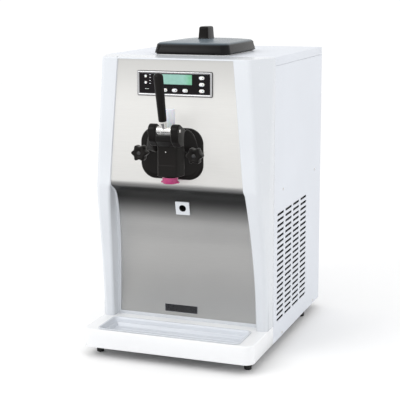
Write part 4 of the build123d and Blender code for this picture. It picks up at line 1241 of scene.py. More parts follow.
@dataclass
class FrontForm:
    """The rule that fascia and steel share; heights count from the cabinet's underside, in mm."""

    base: float = 25.0
    body: float = 694.0
    shoulder: float = 390.0
    face: float = -214.2
    joint: float = -118.2
    foot_setback: float = 48.0
    panel_bottom: float = 53.0
    panel_top: float = 690.5
    depths: tuple[tuple[float, float], ...] = (
        (45.0, 76.8),
        (60.0, 76.65),
        (150.0, 75.0),
        (240.0, 69.8),
        (300.0, 59.9),
        (316.0, 56.3),
        (332.0, 52.0),
        (348.0, 46.5),
        (357.0, 42.2),
        (366.0, 36.1),
        (373.0, 28.3),
        (378.5, 19.2),
        (383.0, 11.2),
        (388.0, 6.3),
        (394.0, 3.9),
        (400.0, 3.0),
        (694.0, 3.0),
    )

    def below(self, height: float, power: float) -> float:
        """0 at the shoulder and above, rising to 1 at the foot."""
        if height >= self.shoulder:
            return 0.0
        return (1 - (height / self.shoulder) ** 2) ** power

    def above(self, height: float) -> float:
        """0 at the shoulder, 1 at the top."""
        return max(0.0, (height - self.shoulder) / (self.body - self.shoulder))

    def setback(self, height: float) -> float:
        """How far a cheek's front lies behind the upper face."""
        return self.foot_setback * self.below(height, 1.2)

    def outer(self, height: float) -> float:
        """Half-width outside."""
        return 204.8 - 21.8 * self.above(height) + 9.7 * self.below(height, 0.6)

    def inner(self, height: float) -> float:
        """Half-width between the cheeks."""
        return 168.0 - 25.0 * self.above(height) + 17.5 * self.below(height, 0.8)

    def window(self, height: float) -> float:
        """Half-width of the steel that shows."""
        if height >= self.shoulder:
            return self.inner(height) - 0.4
        return min(180.0 - 12.0 * height / self.shoulder, self.inner(height) - 0.4)

    def depth(self, height: float) -> float:
        """How far the steel's face lies behind the upper face."""
        return interpolate(self.depths, height)


def arc(centre: Point, radius: float, start: float, end: float, steps: int) -> list[tuple[float, float]]:
    """Points on an arc, its angles in degrees.

    Args:
        centre: the arc's centre.
        radius: its radius.
        start: first angle.
        end: last angle.
        steps: segments along it.

    Returns:
        The points, both ends included.
    """
    angles = [math.radians(start + (end - start) * i / steps) for i in range(steps + 1)]
    return [(centre[0] + radius * math.cos(a), centre[1] + radius * math.sin(a)) for a in angles]


@dataclass
class Fascia:
    """The white moulded surround: two swept cheeks, a cap and a sill."""

    form: FrontForm
    corner: float = 14.0
    edge: float = 7.0
    wall: float = 2.6
    top_round: float = 3.0
    half: float = 215.0

    def contour(self, height: float) -> list[tuple[float, float]]:
        """The right half's plan contour, from the joint round to the edge of the window.

        Args:
            height: height above the cabinet's underside.

        Returns:
            Plan points, always the same number.
        """
        form = self.form
        front = form.face + form.setback(height)
        flange = form.joint - 40 + 30 * form.above(height) + 12 * form.below(height, 1.0)
        outer, inner, window = form.outer(height), form.inner(height) + 0.4, form.window(height)
        lip = form.face + form.depth(height) - 3.0
        if height > form.panel_top - 0.01:
            lip = front + 0.3
        deep = max(0.3, lip - front) if height > form.panel_top - 0.01 else max(2.4, lip - front)
        round_in = min(self.edge, deep * 0.62)
        lean = math.degrees(math.atan2(self.half - outer, flange - front))
        reach = self.corner * math.tan(math.radians(90 - lean) / 2)
        side = Vector((self.half - outer, flange - front)).normalized()
        points = [
            (self.half, form.joint), (self.half, (form.joint + flange + 9) / 2), (self.half, flange + 9)
        ]
        points += self._bend((self.half, flange + 9), (self.half, flange), side, 9.0)
        start = (outer + side.x * reach * 1.6, front + side.y * reach * 1.6)
        points.append(start)
        points += self._corner((outer, front), side, reach)
        face_out = points[-1][0]
        points.append((face_out * 0.6 + (inner + round_in) * 0.4, front))
        points += arc((inner + round_in, front + round_in), round_in, 270, 180, 6)
        back = front + deep
        soft = min(2.5, deep * 0.25)
        points.append((inner, (front + round_in + back - soft) / 2))
        narrow = min(soft, (inner - window) * 0.5)
        points += arc((inner - narrow, back - narrow), narrow, 0, 90, 3)
        points.append((window, back))
        return points

    @staticmethod
    def _bend(start: Point, knee: Point, away: Vector, size: float) -> list[tuple[float, float]]:
        """A soft knee between the flange and the cheek's side, without its first point.

        Args:
            start: the bend's first point, which is left out of the result.
            knee: where the two straight runs would meet.
            away: the direction from the bend's end to the knee.
            size: how far the bend's end lies from the knee.

        Returns:
            Plan points.
        """
        end = (knee[0] - away.x * size, knee[1] - away.y * size)
        points = []
        for i in range(1, 5):
            t = i / 4
            x = (1 - t) ** 2 * start[0] + 2 * t * (1 - t) * knee[0] + t * t * end[0]
            y = (1 - t) ** 2 * start[1] + 2 * t * (1 - t) * knee[1] + t * t * end[1]
            points.append((x, y))
        return points

    def _corner(self, knee: Point, side: Vector, reach: float) -> list[tuple[float, float]]:
        """The rounded outer corner, from the side to the front.

        Args:
            knee: the corner that is rounded.
            side: the direction from the knee back along the cheek's side.
            reach: how far each end of the arc lies from the knee.

        Returns:
            Plan points.
        """
        first = Vector(knee) + side * reach
        last = Vector(knee) + Vector((-1, 0)) * reach
        out = Vector((-side.y, side.x)) * self.corner
        centre = first + out
        start = math.degrees(math.atan2(first.y - centre.y, first.x - centre.x))
        end = math.degrees(math.atan2(last.y - centre.y, last.x - centre.x))
        if end > start:
            end -= 360
        return arc(centre, self.corner, start, end, 9)

    def heights(self) -> list[float]:
        """Rows of the grid, closer together where the form bends.

        Returns:
            Heights, rising.
        """
        form = self.form
        rows = [45.0, 49.0, form.panel_bottom]
        rows += list(np.arange(62.0, 300.0, 14.0))
        rows += list(np.arange(300.0, 352.0, 6.0))
        rows += list(np.arange(352.0, 402.0, 2.5))
        rows += list(np.arange(410.0, 684.0, 16.0))
        rows += [688.0, form.panel_top]
        return rows

    def build(self, shop: Workshop) -> None:
        """Builds the moulding as one walled shell.

        Args:
            shop: the workshop that finishes it.
        """
        form = self.form
        shape = Shape("fascia_shell")
        rows = []
        across = 10
        for height in self.heights():
            right = self.contour(height)
            edge, back = right[-1]
            sill = [(edge * (1 - 2 * i / across), back) for i in range(1, across)]
            plan = right + sill + [(-x, y) for x, y in reversed(right)]
            rows.append([(x, y, form.base + height) for x, y in plan])
        last = rows[-1]
        centre = Vector((0, form.joint - 10, 0))
        for step in range(1, 6):
            angle = math.radians(90 * step / 5)
            shrink, rise = self.top_round * (1 - math.cos(angle)), self.top_round * math.sin(angle)
            lift = form.base + form.body - self.top_round + rise
            rows.append([(*self._inset(x, y, shrink, centre), lift) for x, y, _ in last])
        made = [shape.ring(r) for r in rows]
        count = len(self.contour(100.0))
        low = len([h for h in self.heights() if h <= form.panel_bottom + 0.01]) - 1
        high = len(self.heights()) - 1
        for row, (first, second) in enumerate(zip(made, made[1:])):
            for i in range(len(first) - 1):
                open_window = low <= row < high and count - 1 <= i < len(first) - count
                if not open_window:
                    shape.bm.faces.new((first[i], first[i + 1], second[i + 1], second[i]))
        shape.bm.faces.new(made[-1])
        bmesh.ops.remove_doubles(shape.bm, verts=shape.bm.verts, dist=2e-5)
        bmesh.ops.recalc_face_normals(shape.bm, faces=shape.bm.faces)
        self._face_out(shape.bm)
        mesh = bpy.data.meshes.new(shape.name)
        shape.bm.to_mesh(mesh)
        shape.bm.free()
        piece = bpy.data.objects.new(shape.name, mesh)
        bpy.context.scene.collection.objects.link(piece)
        wall = piece.modifiers.new("wall", "SOLIDIFY")
        wall.thickness = self.wall * MM
        wall.offset = -1.0
        wall.use_even_offset = False
        settle(piece)
        soften(piece, 0.5, 2, 50.0)
        shop.fit(piece, Body.CABINET, Slot.WHITE_MOULDING, "front_fascia")

    def _inset(self, x: float, y: float, shrink: float, centre: Vector) -> tuple[float, float]:
        """A plan point moved inwards by shrink, the joint edge staying on the joint.

        Args:
            x: across the machine.
            y: along the machine.
            shrink: how far inwards.
            centre: the point that inwards is measured towards.

        Returns:
            The moved point.
        """
        form = self.form
        limit_x = self.half - shrink
        inward = Vector((centre.x - x * 0.35, centre.y - y)).normalized() * shrink
        moved_y = y + shrink * max(0.0, inward.y / shrink if shrink else 0.0)
        moved_x = x - math.copysign(min(abs(x), shrink * abs(x) / self.half), x)
        if y > form.joint - 0.01:
            moved_y = y
        return max(-limit_x, min(limit_x, moved_x)), min(form.joint, moved_y)

    @staticmethod
    def _face_out(bm: bmesh.types.BMesh) -> None:
        """Turns an open shell so that its frontmost face looks forward.

        Args:
            bm: the mesh.
        """
        bm.normal_update()
        front = min(bm.faces, key=lambda f: f.calc_center_median().y)
        if front.normal.y > 0:
            bmesh.ops.reverse_faces(bm, faces=bm.faces)


@dataclass
class SteelPanel:
    """The brushed sheet between the cheeks, bent in an S at the shoulder."""

    form: FrontForm
    sheet: float = 1.5
    overlap: float = 1.8
    columns: int = 24

    def build(self, shop: Workshop) -> None:
        """Builds the sheet and cuts its openings.

        Args:
            shop: the workshop that finishes it.
        """
        form = self.form
        rows = list(np.arange(46.0, 300.0, 12.0)) + list(np.arange(300.0, 402.0, 2.0))
        rows += list(np.arange(402.0, 690.0, 12.0)) + [691.5]
        shape = Shape("steel_sheet")
        made = []
        for height in rows:
            half = form.inner(height) + self.overlap
            depth = form.face + form.depth(height)
            xs = [half * (2 * i / self.columns - 1) for i in range(self.columns + 1)]
            made.append(shape.ring([(x, depth, form.base + height) for x in xs]))
        for first, second in zip(made, made[1:]):
            shape.bridge(first, second, closed=False)
        bmesh.ops.recalc_face_normals(shape.bm, faces=shape.bm.faces)
        Fascia._face_out(shape.bm)
        mesh = bpy.data.meshes.new(shape.name)
        shape.bm.to_mesh(mesh)
        shape.bm.free()
        piece = bpy.data.objects.new(shape.name, mesh)
        bpy.context.scene.collection.objects.link(piece)
        wall = piece.modifiers.new("sheet", "SOLIDIFY")
        wall.thickness = self.sheet * MM
        wall.offset = -1.0
        settle(piece)
        window = limits("display_panel")
        tube = limits("freezing_cylinder")
        head = (tube[0].z + tube[1].z) / 2
        span = (form.face - 8, form.face + 12)
        middle = (window[0].z + window[1].z) / 2
        display = Shape("cut").slab((-85.2, 85.2), span, (middle - 21.2, middle + 21.2))
        barrel = Shape("cut").lathe([(57, span[0]), (57, span[1])], Axis.Y, (0, head), 64)
        slope = Shape("cut").lathe([(11.6, -24), (11.6, 24)], Axis.Y, (0, 0), 32)
        lean = Matrix.Rotation(math.radians(-13.0), 4, "X")
        lean.translation = Vector((0, form.face + form.depth(332.0), form.base + 332.0))
        slope.turn(lean)
        cut(piece, display, barrel, slope)
        shop.fit(piece, Body.CABINET, Slot.BRUSHED_PANEL, "steel_front_panel")


@dataclass
class OutletAndBadge:
    """The drip outlet's moulded plate and the plain dark badge."""

    form: FrontForm
    tilt: float = 13.0
    plate: tuple[float, float] = (36.0, 34.0)
    hole: float = 8.5
    badge: tuple[float, float] = (86.0, 20.0)

    def build(self, shop: Workshop) -> None:
        """Builds both plates.

        Args:
            shop: the workshop that finishes them.
        """
        self._outlet(shop)
        self._badge(shop)

    def _outlet(self, shop: Workshop) -> None:
        """A square plate with a dished round mouth and a tube behind it.

        Args:
            shop: the workshop that finishes the pieces.
        """
        rings = []
        for place, inset in ((1.25, 0.0), (3.4, 0.0), (4.2, 0.35), (4.6, 1.1)):
            points = corner_points(
                self.plate[0] - 2 * inset, self.plate[1] - 2 * inset, [max(0.8, 1.8 - inset)] * 4
            )
            rings.append([(x, -place, z) for x, z in points])
        plate = Shape("outlet_plate").loft(rings)
        place = Matrix.Rotation(math.radians(self.tilt), 4, "X")
        place.translation = Vector((0, -162.83 + 0.05, self.form.base + 332.0))
        piece = plate.turn(place).object()
        mouth = [(8.6, 3.0), (8.6, -3.4), (9.2, -4.0), (11.5, -4.75), (11.5, -7.0)]
        cutter = Shape("cut").lathe(mouth, Axis.Y, (0, 0), 48).turn(place)
        cut(piece, cutter)
        soften(piece, 0.3, 2, 40.0)
        shop.fit(piece, Body.CABINET, Slot.WHITE_MOULDING, "outlet_bezel")
        tube = [(self.hole, 58.0), (self.hole, -3.2), (10.8, -3.2), (10.8, 58.0)]
        pipe = Shape("outlet_tube").lathe(tube, Axis.Y, (0, 0), 48, loop=True).turn(place).object()
        shop.fit(settle(pipe), Body.CABINET, Slot.RUBBER_BLACK)

    def _badge(self, shop: Workshop) -> None:
        """A dark plate with a bright rim.

        Args:
            shop: the workshop that finishes the pieces.
        """
        low, high = limits("badge_plate")
        centre = Vector(((low.x + high.x) / 2, 0, (low.z + high.z) / 2))
        lean = math.atan2(2.0, 97.0)
        front = low.y + 0.2
        place = Matrix.Rotation(lean, 4, "X")
        place.translation = Vector((centre.x, front + 0.85, centre.z))

        def stack(
            name: str, steps: Sequence[tuple[float, float]], size: tuple[float, float], radius: float
        ) -> Shape:
            """A rounded plate from (depth, inset) steps.

            Args:
                name: the piece's name.
                steps: the section's steps, in order.
                size: the plate's width and height.
                radius: the corner radius.

            Returns:
                The shape.
            """
            rings = []
            for depth, inset in steps:
                corners = corner_points(
                    size[0] - 2 * inset, size[1] - 2 * inset, [max(0.4, radius - inset)] * 4, 4
                )
                rings.append([(x, -depth, z) for x, z in corners])
            return Shape(name).loft(rings).turn(place)

        rim = stack(
            "badge_rim", ((-0.4, 0.0), (0.5, 0.0), (0.75, 0.25), (0.75, 0.9), (0.45, 1.1)), self.badge, 1.5
        )
        shop.fit(settle(rim.object()), Body.CABINET, Slot.CHROME_TRIM, "badge_plate")
        inner = (self.badge[0] - 2.2, self.badge[1] - 2.2)
        face = stack("badge_face", ((0.3, 0.0), (0.58, 0.0), (0.6, 0.2)), inner, 0.8)
        shop.fit(settle(face.object()), Body.CABINET, Slot.BADGE_DARK)


# ---------------------------------------------------------------- drip shelf


@dataclass
class DripShelf:
    """The moulded shelf at the foot and the tray that lifts out of it."""

    form: FrontForm
    depth: float = 168.0
    height: float = 45.0
    corner: float = 22.0
    edge: float = 3.2
    wall: float = 3.0
    basin_half: float = 178.0
    basin_depths: tuple[float, float] = (158.0, 58.0)
    rim: float = 3.0
    floor: float = 49.4

    def outline(self, inset: float) -> list[tuple[float, float]]:
        """The shelf's plan, moved inwards on its three free sides.

        Args:
            inset: how far inwards.

        Returns:
            Plan points.
        """
        radius = max(1.0, self.corner - inset)
        points = corner_points(430 - 2 * inset, self.depth - inset, [0.6, 0.6, radius, radius], 10)
        centre = self.form.joint - (self.depth - inset) / 2
        return [(x, centre + y) for x, y in points]

    def opening(self, grow: float, radius: float = 13.0) -> list[tuple[float, float]]:
        """The basin's plan, grown by a distance."""
        front, back = (self.form.joint - d for d in self.basin_depths)
        points = corner_points(2 * (self.basin_half + grow), back - front + 2 * grow, [radius + grow] * 4, 10)
        return [(x, y + (front + back) / 2) for x, y in points]

    def build(self, shop: Workshop) -> None:
        """Builds the shelf and the tray.

        Args:
            shop: the workshop that finishes them.
        """
        self._shelf(shop)
        self._tray(shop)

    def _shelf(self, shop: Workshop) -> None:
        """One walled shell: skirt, rounded rim, deck, and the basin's own wall down to its floor.

        Args:
            shop: the workshop that finishes the pieces.
        """
        base, top = self.form.base, self.form.base + self.height
        rings = [self._ring(self.outline(self.wall), base + 0.05), self._ring(self.outline(0.4), base)]
        rings.append(self._ring(self.outline(0.0), base + 0.6))
        for step in range(7):
            angle = math.radians(90 * step / 6)
            inset = self.edge * (1 - math.cos(angle))
            rings.append(self._ring(self.outline(inset), top - self.edge + self.edge * math.sin(angle)))
        for step in range(5):
            angle = math.radians(90 * step / 4)
            rings.append(
                self._ring(self.opening(1.2 * (1 - math.sin(angle))), top - 1.2 * (1 - math.cos(angle)))
            )
        rings.append(self._ring(self.opening(0.0), base + 33))
        rings.append(self._ring(self.opening(2.4), base + 33))
        rings.append(self._ring(self.opening(2.4), top - self.wall))
        rings.append(self._ring(self.outline(self.wall), top - self.wall))
        piece = Shape("shelf_shell").loft(rings, loop=True).object()
        shop.fit(settle(piece), Body.CABINET, Slot.WHITE_MOULDING, "drip_shelf")
        # The shelf gets the brighter copy of the white moulding: painted light.
        piece.data.materials[0] = SHELF_PAINTED_LIGHT.material()

    @staticmethod
    def _ring(points: Sequence[tuple[float, float]], height: float) -> list[Vector]:
        """A level ring."""
        return [Vector((x, y, height)) for x, y in points]

    def _tray(self, shop: Workshop) -> None:
        """A pressed tray: rolled rim, sloping wall, a ledge, and a floor that falls to a drain dimple.

        Args:
            shop: the workshop that finishes the pieces.
        """
        steps = [
            (1.6, 70.5, 14.6),
            (2.7, 70.6, 15.6),
            (3.0, 71.2, 15.9),
            (2.6, 72.0, 15.6),
            (1.8, 72.3, 15.0),
            (0.4, 72.3, 14.0),
            (-1.0, 72.0, 12.6),
            (-2.2, 70.9, 11.8),
            (-3.4, 67.5, 11.2),
            (-4.8, 63.0, 10.8),
            (-5.6, 61.6, 10.6),
            (-8.6, 61.0, 10.2),
            (-9.6, 60.4, 10.0),
            (-11.4, 55.4, 9.4),
            (-13.2, 52.6, 8.8),
            (-16.5, 51.6, 8.0),
        ]
        rings = [self._ring(self.opening(grow, 13.0), height) for grow, height, _ in steps]
        inner = rings[-1]
        centre = sum(inner, Vector()) / len(inner)
        for share, drop in ((0.75, 0.3), (0.45, 0.7), (0.15, 1.0)):
            rings.append([centre + (p - centre) * share - Vector((0, 0, drop)) for p in inner])
        low = self.floor
        under = [(-17.0, low), (-14.6, low + 0.8), (-12.6, low + 3.2), (-10.6, low + 9.2), (-6.6, low + 10.4)]
        under += [(-4.4, low + 17.5), (-3.0, 70.0), (0.8, 70.5)]
        below = [self._ring(self.opening(grow, 13.0), height) for grow, height in under]
        shape = Shape("tray_shell")
        made = [shape.ring(r) for r in rings]
        beneath = [shape.ring(r) for r in below]
        for first, second in zip(made, made[1:]):
            shape.bridge(first, second)
        for first, second in zip(beneath, beneath[1:]):
            shape.bridge(first, second)
        shape.bridge(beneath[-1], made[0])
        shape.bm.faces.new(made[-1])
        shape.bm.faces.new(list(reversed(beneath[0])))
        piece = settle(shape.object())
        drain = [(7.5, 50.2), (7.5, 53.0), (9.5, 54.5)]
        centre_y = self.form.joint - sum(self.basin_depths) / 2
        cut(piece, Shape("cut").lathe(drain, Axis.Z, (138, centre_y - 12), 32))
        shop.fit(soften(piece, 0.5, 2, 45.0), Body.TRAY, Slot.WHITE_MOULDING, "drip_tray")
        # The tray gets the darker, bluer copy of the white moulding: painted shade.
        piece.data.materials[0] = TRAY_PAINTED_SHADE.material()
        ribs = Pattern("rib", "tray_ribs")
        ribs.grid((0, centre_y - 22, 50.9), (0, 22, 0), 3, (0, 0, 0), 1)
        bar = Shape("rib_form").loft(
            [
                [(-150, -1.6, 0), (150, -1.6, 0), (150, 1.6, 0), (-150, 1.6, 0)],
                [(-149, -0.8, 1.3), (149, -0.8, 1.3), (149, 0.8, 1.3), (-149, 0.8, 1.3)],
            ]
        )
        lines = ribs.build(bar, shop.material(Slot.WHITE_MOULDING))
        shop.fit(lines, Body.TRAY, Slot.WHITE_MOULDING)
        # Painted shade: the ribs take the tray's darker copy of the moulding.
        lines.data.materials[0] = TRAY_PAINTED_SHADE.material()


# ---------------------------------------------------------------- dispensing head


@dataclass
class Head:
    """The black head: door plate, valve block, bridge, ears, knobs, plunger, nozzle and lever."""

    form: FrontForm
    plate: tuple[float, float, float] = (155.0, 122.0, 37.0)
    plate_x: float = -3.0
    plate_t: float = 16.0
    spout_y: float = -243.2
    block_front: float = -264.2
    bridge_y: float = -284.2
    pivot: tuple[float, float] = (-274.2, 559.0)
    ear: tuple[float, float] = (18.5, 37.0)
    stud: tuple[float, float] = (68.0, 502.0)
    bore: float = 12.6
    lobes: int = 6
    head_z: float = 498.5

    def build(self, shop: Workshop) -> None:
        """Builds the head from the steel outwards.

        Args:
            shop: the workshop that finishes the pieces.
        """
        self._plate(shop)
        self._block(shop)
        self._ears(shop)
        for side, body in ((-1, Body.KNOB_LEFT), (1, Body.KNOB_RIGHT)):
            self._knob(shop, side, body)
        self._plunger(shop)
        self._nozzle(shop)
        self._lever(shop)
        for piece in bpy.data.objects:
            if piece.name.startswith(
                (
                    "door_",
                    "shoulder_",
                    "valve_",
                    "hand_",
                    "ear",
                    "knob",
                    "plunger_",
                    "lever_",
                    "bridge",
                    "rear_web",
                )
            ):
                piece.visible_glossy = False

    def _plate(self, shop: Workshop) -> None:
        """The door plate, with a broad rounding and a shallow raised field.

        Args:
            shop: the workshop that finishes the pieces.
        """
        back, front = self.form.face - 0.5, self.form.face - self.plate_t
        width, tall, radius = self.plate
        steps = [
            (back, 6.6),
            (back - 0.6, 6.0),
            (back - 3.4, 5.6),
            (back - 4.6, 1.6),
            (back - 5.4, 0.3),
            (back - 6.2, 0.0),
        ]
        for step in range(7):
            angle = math.radians(90 * step / 6)
            steps.append((front + 0.8 + 6.0 * (1 - math.sin(angle)), 6.0 * (1 - math.cos(angle))))
        steps += [(front + 0.75, 9.5), (front + 0.1, 10.6), (front, 12.0)]
        rings = []
        for place, inset in steps:
            points = corner_points(width - 2 * inset, tall - 2 * inset, [radius - inset * 0.8] * 4, 14)
            rings.append([(x + self.plate_x, place, self.head_z + z) for x, z in points])
        piece = settle(Shape("door_plate").loft(rings).object())
        cutters = []
        for side in (-1, 1):
            place = (side * self.stud[0], self.stud[1])
            cutters.append(Shape("cut").lathe([(5.5, back + 2), (5.5, front - 2)], Axis.Y, place, 24))
        cutters.append(Shape("cut").lathe([(19.4, 420.0), (19.4, 448.2)], Axis.Z, (0, self.spout_y), 48))
        cut(piece, *cutters)
        shop.fit(piece, Body.CABINET, Slot.BLACK_MOULDING, "freezer_door")
        studs = Pattern("stud", "door_stud_bars")
        for side in (-1, 1):
            studs.at((side * self.stud[0], self.form.face - 50, self.stud[1]), (0, -1, 0))
        bar = Shape("stud_form").lathe([(4.2, 0.0), (4.9, -0.9), (4.9, -58.5)], Axis.Z, (0, 0), 20)
        shop.fit(
            studs.build(bar, shop.material(Slot.POLISHED_STEEL)),
            Body.CABINET,
            Slot.POLISHED_STEEL,
            "door_studs",
        )

    def _block(self, shop: Workshop) -> None:
        """The valve block: tapered in plan, with a crease, a lower apron and the spout under it.

        Args:
            shop: the workshop that finishes the pieces.
        """
        front, back = self.block_front, self.form.face - self.plate_t + 4
        rows = []
        profile = [
            (448.0, 2.2),
            (449.2, 0.8),
            (451.0, 0.0),
            (474.0, 0.0),
            (475.2, 0.35),
            (476.4, 0.0),
            (477.0, 0.0),
            (530.0, 0.0),
            (532.2, 0.8),
            (533.0, 2.2),
        ]
        for height, inset in profile:
            half = 23.5 - inset
            rear = 31.0 - inset
            low = front + inset + (0.9 if height > 475.5 else 0.0)
            edge = [(rear, back), (rear - 0.6, back - 10)]
            edge += [
                (half + 1.3, low + 6.5), (half + 0.4, low + 3.2), (half - 1.2, low + 0.9), (half - 3.6, low)
            ]
            plan = edge + [(-x, y) for x, y in reversed(edge)]
            rows.append([(x, y, height) for x, y in plan])
        piece = settle(Shape("valve_block").loft(rows).object())
        bore = Shape("cut").lathe(
            [(self.bore, 440.0), (self.bore, 532.0), (self.bore + 1.5, 534.0)],
            Axis.Z,
            (0, self.spout_y),
            48,
        )
        dimple = Shape("cut").lathe(
            [(1.6, front - 2), (1.6, front + 1.6), (0.6, front + 2.4)], Axis.Y, (-3, 507.0), 24
        )
        cut(piece, bore, dimple)
        shop.fit(soften(piece, 0.35, 2, 40.0), Body.CABINET, Slot.BLACK_MOULDING)
        pin = [(0.2, front + 0.2), (1.1, front + 0.35), (1.45, front + 0.8), (1.45, front + 3.0)]
        button = Shape("block_rivet").lathe(pin, Axis.Y, (-3, 507.0), 24)
        shop.fit(settle(button.object()), Body.CABINET, Slot.POLISHED_STEEL)
        spout = [
            (self.bore, 449.0),
            (self.bore, 436.4),
            (13.2, 436.0),
            (14.6, 436.0),
            (15.0, 436.5),
            (15.0, 449.0),
        ]
        pipe = Shape("spout_ring").lathe(spout, Axis.Z, (0, self.spout_y), 48, loop=True)
        shop.fit(settle(pipe.object()), Body.CABINET, Slot.BLACK_MOULDING)

    def _ears(self, shop: Workshop) -> None:
        """Two ears round the pivot, the bridge between them and the shoulders that run back to the plate.

        Args:
            shop: the workshop that finishes the pieces.
        """
        py, pz = self.pivot
        rear = self.form.face - self.plate_t + 4
        nose = arc((py, pz), 15.0, 62, 188, 10)
        foot = [
            (self.bridge_y - 1.5, 537.0),
            (self.bridge_y, 533.5),
            (self.bridge_y + 3.0, 531.2),
            (py + 4, 521.2),
        ]
        outline = nose + foot + [
            (rear, 521.2), (rear, 550.5), (rear - 6, 553.0), (rear - 16, 560.0), (py + 16, 567.2)
        ]
        for side, name in ((-1, "ear_left"), (1, "ear_right")):
            inner, outer = side * self.ear[0], side * self.ear[1]
            low, high = sorted((inner, outer))
            ear = Shape(name).prism(outline, Axis.X, low, high).object()
            soften(ear, 2.6, 4, 28.0)
            cut(ear, Shape("cut").lathe([(4.1, low - 2), (4.1, high + 2)], Axis.X, (py, pz), 24))
            shop.fit(ear, Body.CABINET, Slot.BLACK_MOULDING)
            shop.fit(self._shoulder(side, f"shoulder_{name[4:]}", rear), Body.CABINET, Slot.BLACK_MOULDING)
        bridge_profile = [
            (py + 9.5, 521.4),
            (py + 9.5, 549.0),
            (self.bridge_y + 6, 549.0),
            (self.bridge_y - 0.5, 546.0),
            (self.bridge_y - 0.2, 534.5),
            (self.bridge_y + 4, 531.2),
            (py + 4, 521.4),
        ]
        bridge = Shape("bridge").prism(bridge_profile, Axis.X, -19.0, 19.0).object()
        shop.fit(soften(bridge, 1.8, 3, 28.0), Body.CABINET, Slot.BLACK_MOULDING)
        web = Shape("rear_web").slab(
            (-20, 20), (self.form.face - self.plate_t - 6, rear), (521.4, 533.0)
        ).object()
        soften(web, 1.0, 2, 30.0)
        cut(web, Shape("cut").lathe([(self.bore, 440.0), (self.bore, 560.0)], Axis.Z, (0, self.spout_y), 48))
        shop.fit(web, Body.CABINET, Slot.BLACK_MOULDING)
        pin = [(2.9, -38.0), (3.9, -37.2), (3.9, 37.2), (2.9, 38.0)]
        shop.fit(
            settle(Shape("hinge_pin").lathe(pin, Axis.X, (py, pz), 32).object()),
            Body.LEVER,
            Slot.POLISHED_STEEL,
            "pivot_pin",
        )

    def _shoulder(self, side: int, name: str, rear: float) -> bpy.types.Object:
        """The fairing that runs from an ear down and out to the plate.

        Args:
            side: -1 for the left, 1 for the right.
            name: the piece's name.
            rear: how far back it reaches.

        Returns:
            The settled piece.
        """
        rings = []
        stations = ((34.0, 22.0, 559.5), (41.0, 20.0, 558.5), (48.0, 16.0, 554.5), (54.0, 11.0, 547.0))
        stations += ((59.0, 6.5, 536.0), (62.5, 3.0, 524.0), (64.5, 0.6, 512.0))
        front = self.form.face - self.plate_t
        for x, ahead, top in stations:
            low = 506.0 - (64.5 - x) * 0.25
            nose = min(ahead * 0.6, (top - low) * 0.4)
            ring = [(rear, low), (front - ahead * 0.35, low), (front - ahead, low + nose)]
            ring += [
                (front - ahead, top - nose),
                (front - ahead * 0.72, top - nose * 0.3),
                (front - ahead * 0.35, top),
            ]
            ring += [(rear, top)]
            rings.append([(side * x, y, z) for y, z in ring])
        piece = Shape(name).loft(rings).object()
        smooth = piece.modifiers.new("round", "SUBSURF")
        smooth.levels = 2
        smooth.render_levels = 2
        return settle(piece)

    def _knob(self, shop: Workshop, side: int, body: Body) -> None:
        """A lobed hand knob with a dished face, a hub and a dark insert.

        Args:
            shop: the workshop that finishes the pieces.
            side: -1 for the left, 1 for the right.
            body: the body that it rides on.
        """
        front, back = self.form.face - 57, self.form.face - self.plate_t - 0.5
        centre = (side * self.stud[0], self.stud[1])
        steps = 12 * self.lobes

        def ring(place: float, scale: float, flat: float) -> list[Vector]:
            """One lobed ring; flat is 0 for full lobes and 1 for a circle.

            Args:
                place: where the ring lies along the axis.
                scale: its size as a share of the full outline.
                flat: 0 for full lobes, 1 for a circle.

            Returns:
                The ring's points.
            """
            points = []
            for i in range(steps):
                angle = 2 * math.pi * i / steps
                lobe = 0.5 + 0.5 * math.cos(self.lobes * angle)
                radius = (15.2 + 4.7 * lobe**1.4) * (1 - flat) + 15.2 * flat
                points.append(
                    Vector(
                        (
                            centre[0] + scale * radius * math.cos(angle),
                            place,
                            centre[1] + scale * radius * math.sin(angle),
                        )
                    )
                )
            return points

        rings = [ring(front + 2.2, 0.3, 1.0), ring(front + 1.6, 0.5, 0.9), ring(front + 0.4, 0.66, 0.5)]
        rings += [ring(front, 0.78, 0.25), ring(front + 0.5, 0.88, 0.1), ring(front + 1.9, 0.96, 0.0)]
        rings += [ring(front + 4.0, 1.0, 0.0), ring(front + 18.0, 1.0, 0.0), ring(front + 20.6, 0.97, 0.0)]
        rings += [ring(front + 22.4, 0.88, 0.2), ring(front + 23.8, 0.74, 0.7), ring(front + 25.0, 0.66, 1.0)]
        rings += [ring(back - 0.6, 0.64, 1.0), ring(back, 0.6, 1.0)]
        name = f"hand_knob_{'left' if side < 0 else 'right'}"
        piece = settle(Shape(name).loft(rings).object())
        cut(piece, Shape("cut").lathe([(5.05, front + 6.5), (5.05, back + 1)], Axis.Y, centre, 24))
        shop.fit(piece, body, Slot.BLACK_MOULDING, f"star_knob_{'left' if side < 0 else 'right'}")
        cap = [(0.2, front + 0.7), (3.4, front + 0.8), (4.3, front + 1.3), (4.4, front + 3.0)]
        shop.fit(settle(Shape(f"{name}_cap").lathe(cap, Axis.Y, centre, 32).object()), body, Slot.BADGE_DARK)

